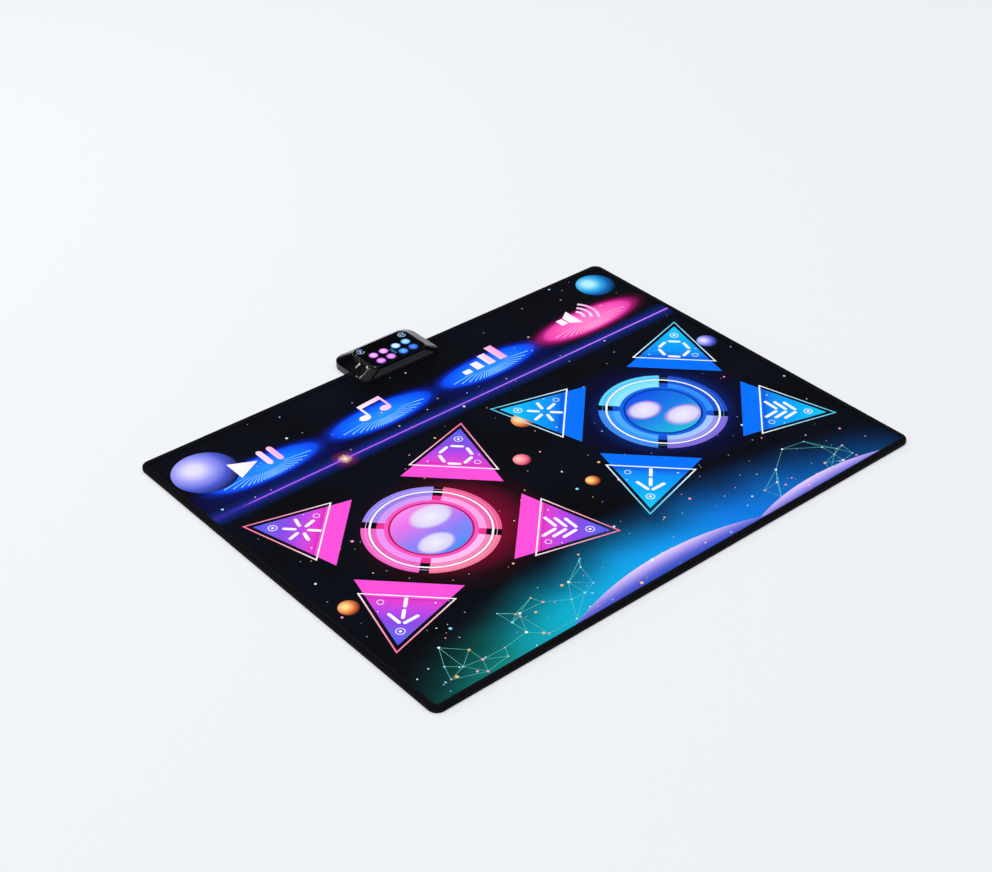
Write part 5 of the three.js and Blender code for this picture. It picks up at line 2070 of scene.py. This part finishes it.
@dataclass(frozen=True)
class Casing:
    """The console's upper casing: a swept shell with a round shoulder and its top panel."""

    skirt: Oblong = Oblong(-100, 100, 390, 508, 20, 28)
    crown: Oblong = Oblong(-66, 66, 396, 478, 16, 16)
    split: float = 16.3
    top: float = 36.0
    wall: float = 2.0
    shoulder: float = 5.0
    slope_share: float = 1 - 5 / 30
    slope_steps: int = 6
    shoulder_steps: int = 8
    corner_steps: int = 16
    # The panel lies in a groove with a rounded lip, on a ledge.
    groove: float = 2.2
    lip: float = 0.3
    ledge: float = 1.2
    ledge_depth: float = 1.4
    panel_gap: float = 0.25
    panel_bottom: float = 1.35
    panel_sink: float = 0.15
    light_reach: float = 10.9
    boss_xs: tuple[float, float] = (-72.0, 72.0)
    boss_ys: tuple[float, float] = (404.0, 484.0)
    # A screw tube, by its radius, its bore's radius and the height of its upper end.
    boss_radius: float = 4.0
    boss_bore: float = 1.9
    boss_top: float = 24.0

    def plan(self, share: float) -> Oblong:
        """Returns the casing's plan at a share of the way from its skirt to its crown."""
        return Oblong(*(
            low + (high - low) * share
            for low, high in zip(astuple(self.skirt), astuple(self.crown))
        ))

    def sides(self, inset: float, drop: float) -> list[tuple[Outline, float]]:
        """Returns the loops of the outer or the inner face, from the skirt to the top.

        Args:
            inset: How far the loops are drawn in.
            drop: How far they are lowered.

        Returns:
            Each loop's outline and height.
        """
        slope_top = self.top - self.shoulder
        rise = slope_top - self.split
        parts = self.slope_steps
        layers = [
            (self.slope_share * step / parts, self.split + rise * step / parts)
            for step in range(parts + 1)
        ]
        for step in range(1, self.shoulder_steps + 1):
            angle = math.pi / 2 * step / self.shoulder_steps
            layers.append((
                self.slope_share + (1 - self.slope_share) * (1 - math.cos(angle)),
                slope_top + self.shoulder * math.sin(angle),
            ))
        return [
            (self.plan(share).outline(inset, self.corner_steps), max(self.split, height - drop))
            for share, height in layers
        ]

    def build(self) -> list[Piece]:
        """Builds the shell and the panel.

        Returns:
            The two pieces.
        """
        crown = self.plan(1)
        ledge_top = self.top - self.ledge_depth
        inset_in = self.groove + self.ledge
        groove = [
            (crown.outline(inset, self.corner_steps), height)
            for inset, height in (
                (self.groove - self.lip, self.top),
                (self.groove, self.top - self.lip),
                (self.groove, ledge_top),
                (inset_in, ledge_top),
                (inset_in, self.top - self.wall),
            )
        ]
        shape = Shape()
        outer, inner = self.sides(0, 0), self.sides(self.wall, self.wall)
        shape.stack(outer + groove + inner[::-1], GLOSS_ABS, ring=True)
        for x in self.boss_xs:
            for y in self.boss_ys:
                self.boss(shape, complex(x, y))
        shell = shape.piece("console_casing", crease=28)
        panel = self.panel()
        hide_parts("console_upper_shell")
        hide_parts("console_upper_shell")
        return [shell, panel]

    def boss(self, shape: Shape, spot: complex) -> None:
        """Adds a tube for one casing screw, under the slope, round a spot."""
        loops = [
            (circle(spot, reach, 20), height)
            for reach, height in (
                (self.boss_radius, self.split),
                (self.boss_radius, self.boss_top),
                (self.boss_bore, self.boss_top),
                (self.boss_bore, self.split),
            )
        ]
        shape.stack(loops, GLOSS_ABS, ring=True)

    def signs(self) -> list[Figure]:
        """Draws the panel's printed signs.

        Returns:
            A ring with a triangle, a ring with two bars, and a small cyan mark in the middle.
        """
        pale = (
            [-57 + 461j, -51 + 465j, -57 + 469j],
            ring_part(-55 + 465j, 7.2, 8.6, 20, 340),
            ring_part(52 + 463j, 7.2, 8.6, 20, 340),
            [48 + 459j, 50 + 459j, 50 + 467j, 48 + 467j],
            [54 + 459j, 56 + 459j, 56 + 467j, 54 + 467j],
        )
        between = Frame(complex(0, sum(LIGHT_ROWS.values()) / 2))
        mark = (
            ring_part(0, 2.4, 3.6, 0, 180),
            ring_part(0, 2.4, 3.6, 180, 360),
            stroke([-3 - 8j, 3 - 8j], 1.8),
            stroke([-3 + 8j, 3 + 8j], 1.8),
        )
        return [
            *(Figure(outline, PANEL_PRINT) for outline in pale),
            *(Figure(between.laid(outline), PANEL_CYAN) for outline in mark),
        ]

    def panel(self) -> Piece:
        """Builds the top panel, with its light holes and its printed signs.

        Returns:
            The panel.
        """
        holes = tuple(
            circle(light_spot(cluster, row, column), self.light_reach, 48)
            for cluster in CLUSTERS
            for column in LIGHT_COLUMNS
            for row in LIGHT_ROWS
        )
        slab = Slab(
            self.plan(1).outline(self.groove + self.panel_gap, self.corner_steps),
            self.top - self.panel_bottom,
            self.top - self.panel_sink,
            GLOSS_ABS,
            holes,
            tuple(self.signs()),
            sag=0.0,
            pitch=12,
        )
        shape = Shape()
        slab.add_to(shape)
        return shape.piece("console_top_panel")


@dataclass(frozen=True)
class Lights:
    """The eight signal lights, domed buttons that glow from below.

    The rear ones are painted paler than the front ones, and of the blue ones the rear left is palest:
    a painted highlight on lenses that are all of one kind.
    """

    blend_reach: float = 11.5
    sides: int = 40
    # A light's flange under the casing and its domed head, as radii and heights.
    profile: tuple[tuple[float, float], ...] = (
        (9.0, 32.5), (11.4, 32.5), (11.5, 32.7), (11.5, 33.5), (11.4, 33.7), (10.5, 33.7),
        (10.5, 35.5), (10.35, 35.85), (9.9, 36.08), (8.5, 36.22), (6, 36.32), (3, 36.38),
        (1, 36.4),
    )
    # Hues from the edge to the core, by row, or by row and column; the paler rear hues carry a
    # painted highlight.
    pink: tuple[tuple[str, Hues], ...] = (
        ("front", ("#4a1f6a", "#9c54bc", "#d884ec", "#f6d0fc")),
        ("rear", ("#4a1f6a", "#9c54bc", "#ec9cf2", "#fff0ff")),
    )
    blue: tuple[tuple[str, Hues], ...] = (
        ("front_left", ("#0a2a7c", "#2460c8", "#3f94f4", "#9cd0ff")),
        ("front_right", ("#0a2a7c", "#184cb4", "#2f74ec", "#78b0fc")),
        ("rear_left", ("#0a2a7c", "#5c98e4", "#bcdcff", "#ffffff")),
        ("rear_right", ("#0a2a7c", "#4488dc", "#8cc4fa", "#e4f6ff")),
    )

    def build(self) -> list[Piece]:
        """Builds the lights.

        Returns:
            The eight pieces.
        """
        pink, blue = dict(self.pink), dict(self.blue)
        found: list[Piece] = []
        for cluster in CLUSTERS:
            for row in LIGHT_ROWS:
                for column in LIGHT_COLUMNS:
                    place = f"{row}_{column}"
                    skin = (
                        LitLens(f"lens_abs_pink_{row}", pink[row])
                        if cluster == "left"
                        else LitLens(f"lens_abs_blue_{place}", blue[place])
                    )
                    spot = light_spot(cluster, row, column)
                    found.append(self.light(f"{cluster}_light_{place}", spot, skin))
        return found

    def light(self, name: str, spot: complex, skin: LitLens) -> Piece:
        """Builds one light.

        Args:
            name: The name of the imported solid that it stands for.
            spot: Its middle.
            skin: Its finish.

        Returns:
            The light.
        """
        shape = Shape()
        loops = [(circle(spot, reach, self.sides), height) for reach, height in self.profile]
        shape.stack(loops, skin, Frame(spot, 0, self.blend_reach))
        made = shape.piece(f"{name}_lens")
        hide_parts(name)
        return made


# Zinc plate: a cool bright grey with fine lines.
ZINC = Sheen("zinc_plated_steel")
# Polyester film: smooth and milky, with matt dark tracks of printed carbon.
FILM = Banded("polyester_film_carbon_print")
NODE_FINISHES: dict[str, Finish] = {
    "upper_contact_film": FILM,
    "lower_contact_film": FILM,
    "ribbon_tail": Banded("polyester_ribbon_carbon_print", pitch=2.5),
    "console_lower_shell": SATIN_ABS,
    "battery_door": SATIN_ABS,
    # A grey knob that a thumb finds in the black casing.
    "power_switch_knob": Moulded("abs_knob_grey", hue="#3a3a42", roughness=0.45),
    # Clean white ABS, which throws the diodes' light upward.
    "light_reflector": Moulded("abs_moulded_white", hue="#eceef0", roughness=0.4),
    # Nylon: a warmer, duller white.
    "power_switch_body": Moulded("nylon_moulded_white", hue="#dcdcd4", roughness=0.55),
    # Glass epoxy under green lacquer, with paler copper tracks.
    "circuit_board": Banded(
        "glass_epoxy_green", hue="#14492c", band="#2a7a4a", pitch=3.2, way=Bands.SLANTING
    ),
    "clamp_plate": ZINC,
    "clamp_screw": ZINC,
    "case_screw": ZINC,
    "board_screw": ZINC,
    "speaker_frame": ZINC,
    # Pressed paper: dull and fibrous.
    "speaker_cone": Moulded(
        "paper_pressed_dark", hue="#26262a", roughness=0.95, specular=0.15, grain=0.8, depth=0.08
    ),
    # Plated spring brass: yellow and bright.
    "battery_contact": Sheen("spring_brass_plated", hue="#c9a552", roughness=0.25),
    # A shrunk plastic wrap: dark and smooth, with one broad pale band.
    "battery_cell": Banded(
        "cell_wrap_dark", hue="#24262e", band="#a8acb4", pitch=45, edge=0.8, roughness=0.25
    ),
    # Soft rubber: black without shine.
    "rear_foot": Moulded("rubber_foot_black", hue="#17171a", roughness=0.85, specular=0.3),
}


@dataclass(frozen=True)
class Fittings:
    """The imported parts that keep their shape: films, board, screws, cells, lower shell and more."""

    edge_round: float = 0.35
    edge_segments: int = 2
    rounded: tuple[str, ...] = ("console_lower_shell", "battery_door", "power_switch_knob")

    def build(self) -> list[Piece]:
        """Gives each of them its finish, and the moulded ones in view a slight edge round.

        Returns:
            The dressed parts.
        """
        found: list[Piece] = []
        for name, node in sorted(frame["nodes"].items()):
            matched = [key for key in NODE_FINISHES if name.startswith(key)]
            if not matched:
                continue
            node.data.materials.clear()
            node.data.materials.append(NODE_FINISHES[matched[0]].material())
            if matched[0] in self.rounded:
                rounding = node.modifiers.new("edge_round", "BEVEL")
                rounding.width = self.edge_round * MM
                rounding.segments = self.edge_segments
                rounding.limit_method = "ANGLE"
                rounding.harden_normals = False
            found.append(node)
        return found


# Studio


@dataclass(frozen=True)
class PaintedFloor(Finish):
    """Painted screed, rolled: plain, pale and matt."""

    hue: str = "#e6e8ec"
    # A roller leaves a stipple of about a millimetre. It is drawn at 5 mm, and very shallow.
    stipple: float = 5.0

    def dress(self, tree: Tree, surface: Node) -> None:
        """Sets the paint and its faint roller grain.

        Args:
            tree: The material's node tree.
            surface: Its surface shader.
        """
        grain = add_node(
            tree, "TexNoise", {"Vector": millimetres(tree), "Scale": 1 / self.stipple}
        )
        bump = add_node(tree, "Bump", {"Height": grain, "Distance": 0.05 * MM, "Strength": 0.2})
        connect(tree, surface, {
            "Base Color": linear(self.hue),
            "Normal": bump,
            "Roughness": 0.95,
            "Specular IOR Level": 0.05,
        })


@dataclass(frozen=True)
class SoftBox:
    """A lamp with a flat front, by its name, its sides, its power and its place, in metres."""

    name: str
    width: float
    height: float
    power: float
    spot: Spot


@dataclass(frozen=True)
class Studio:
    """The pale floor, the lamps and the camera, in metres."""

    floor_half: float = 40.0
    floor_level: float = -0.0005
    # The sky is as pale as the floor at the horizon, dim above it and white overhead.
    sky_stops: Stops = (
        (0.0, "#e9ecf0"), (0.1, "#e4e7ec"), (0.22, "#585b64"), (0.32, "#3c3e46"),
        (0.7, "#3c3e46"), (0.84, "#f4f5f8"), (1.0, "#ffffff"),
    )
    key_power: float = 2.3
    key_spread: float = 25.0
    key_spot: Spot = (-1.3, -0.5, 2.2)
    # Two broad boxes fill the console's far side, and two narrow strips streak its polish.
    boxes: tuple[SoftBox, ...] = (
        SoftBox("left_box", 1.2, 1.2, 7.0, (-2.6, 3.2, 2.4)),
        SoftBox("rear_box", 1.0, 1.0, 4.0, (-3.0, 1.2, 1.6)),
        SoftBox("slope_strip", 0.5, 0.06, 2.4, (-0.68, 2.3, 2.28)),
        SoftBox("shoulder_strip", 0.5, 0.06, 2.4, (-0.2, 2.5, 2.15)),
    )
    console: Spot = (0.0, 0.43, 0.03)
    focal: float = 68.01
    sensor: float = 36.0
    clip: tuple[float, float] = (0.05, 200.0)
    # The camera's place and axes, as fitted to the photograph.
    eye: Spot = (-1.9859, -2.2024, 2.1052)
    right: Spot = (0.75891, -0.65118, 0.00443)
    down: Spot = (-0.36874, -0.43533, -0.82129)
    ahead: Spot = (0.53674, 0.62165, -0.5705)

    def build(self) -> None:
        """Builds the stage."""
        self.floor()
        self.sky()
        self.lamps()
        self.camera()
        bpy.context.scene.view_settings.view_transform = "Standard"

    def floor(self) -> None:
        """Lays the floor just below the mat."""
        half, level = self.floor_half, self.floor_level
        corners = [(-half, -half), (half, -half), (half, half), (-half, half)]
        mesh = bpy.data.meshes.new("floor")
        mesh.from_pydata([(x, y, level) for x, y in corners], [], [(0, 1, 2, 3)])
        mesh.materials.append(PaintedFloor("painted_floor_pale").material())
        made = bpy.data.objects.new("floor", mesh)
        bpy.context.scene.collection.objects.link(made)

    def sky(self) -> None:
        """Lights the world: pale at the floor's edge, dim above it and white overhead."""
        world = bpy.data.worlds.new("studio")
        bpy.context.scene.world = world
        world.use_nodes = True
        tree = world.node_tree
        way = add_node(tree, "TexCoord").outputs["Generated"]
        height = add_node(tree, "SeparateXYZ", {0: way}).outputs["Z"]
        shade = add_node(tree, "ValToRGB", {0: height}, self.sky_stops)
        connect(tree, tree.nodes["Background"], {"Color": shade})

    def lamps(self) -> None:
        """Hangs a broad key lamp over the camera's left, and the boxes round the console."""
        key = bpy.data.lights.new("key", "SUN")
        key.energy = self.key_power
        key.angle = math.radians(self.key_spread)
        self.hang(key, self.key_spot, (0, 0, 0))
        for box in self.boxes:
            lamp = bpy.data.lights.new(box.name, "AREA")
            lamp.shape = "RECTANGLE"
            lamp.size = box.width
            lamp.size_y = box.height
            lamp.energy = box.power
            self.hang(lamp, box.spot, self.console)

    def hang(self, lamp: bpy.types.Light, spot: Spot, aim: Spot) -> None:
        """Places a lamp, turned to what it lights.

        Args:
            lamp: The lamp.
            spot: Its place.
            aim: The place that it lights.
        """
        made = bpy.data.objects.new(lamp.name, lamp)
        bpy.context.scene.collection.objects.link(made)
        made.location = spot
        made.rotation_euler = (Vector(aim) - Vector(spot)).to_track_quat("-Z", "Y").to_euler()

    def camera(self) -> None:
        """Sets the camera where the photograph was taken from."""
        lens = bpy.data.cameras.new("camera")
        lens.lens = self.focal
        lens.sensor_width = self.sensor
        lens.clip_start, lens.clip_end = self.clip
        made = bpy.data.objects.new("camera", lens)
        bpy.context.scene.collection.objects.link(made)
        axes = Matrix((self.right, [-part for part in self.down], [-part for part in self.ahead]))
        made.matrix_world = Matrix.LocRotScale(
            Vector(self.eye), axes.transposed().to_quaternion(), None
        )
        bpy.context.scene.camera = made


def main() -> None:
    """Builds the studio, then the mat piece by piece."""
    Studio().build()
    builders: tuple[Callable[[], list[Piece]], ...] = (
        PrintedLayers().build,
        EdgeTape().build,
        InnerLayers().build,
        Casing().build,
        Lights().build,
        Fittings().build,
    )
    for build in builders:
        for made in build():
            log.info("%s: %d faces", made.name, len(made.data.polygons))


if __name__ == "__main__":
    logging.basicConfig(level=logging.INFO, format="%(message)s")
    main()
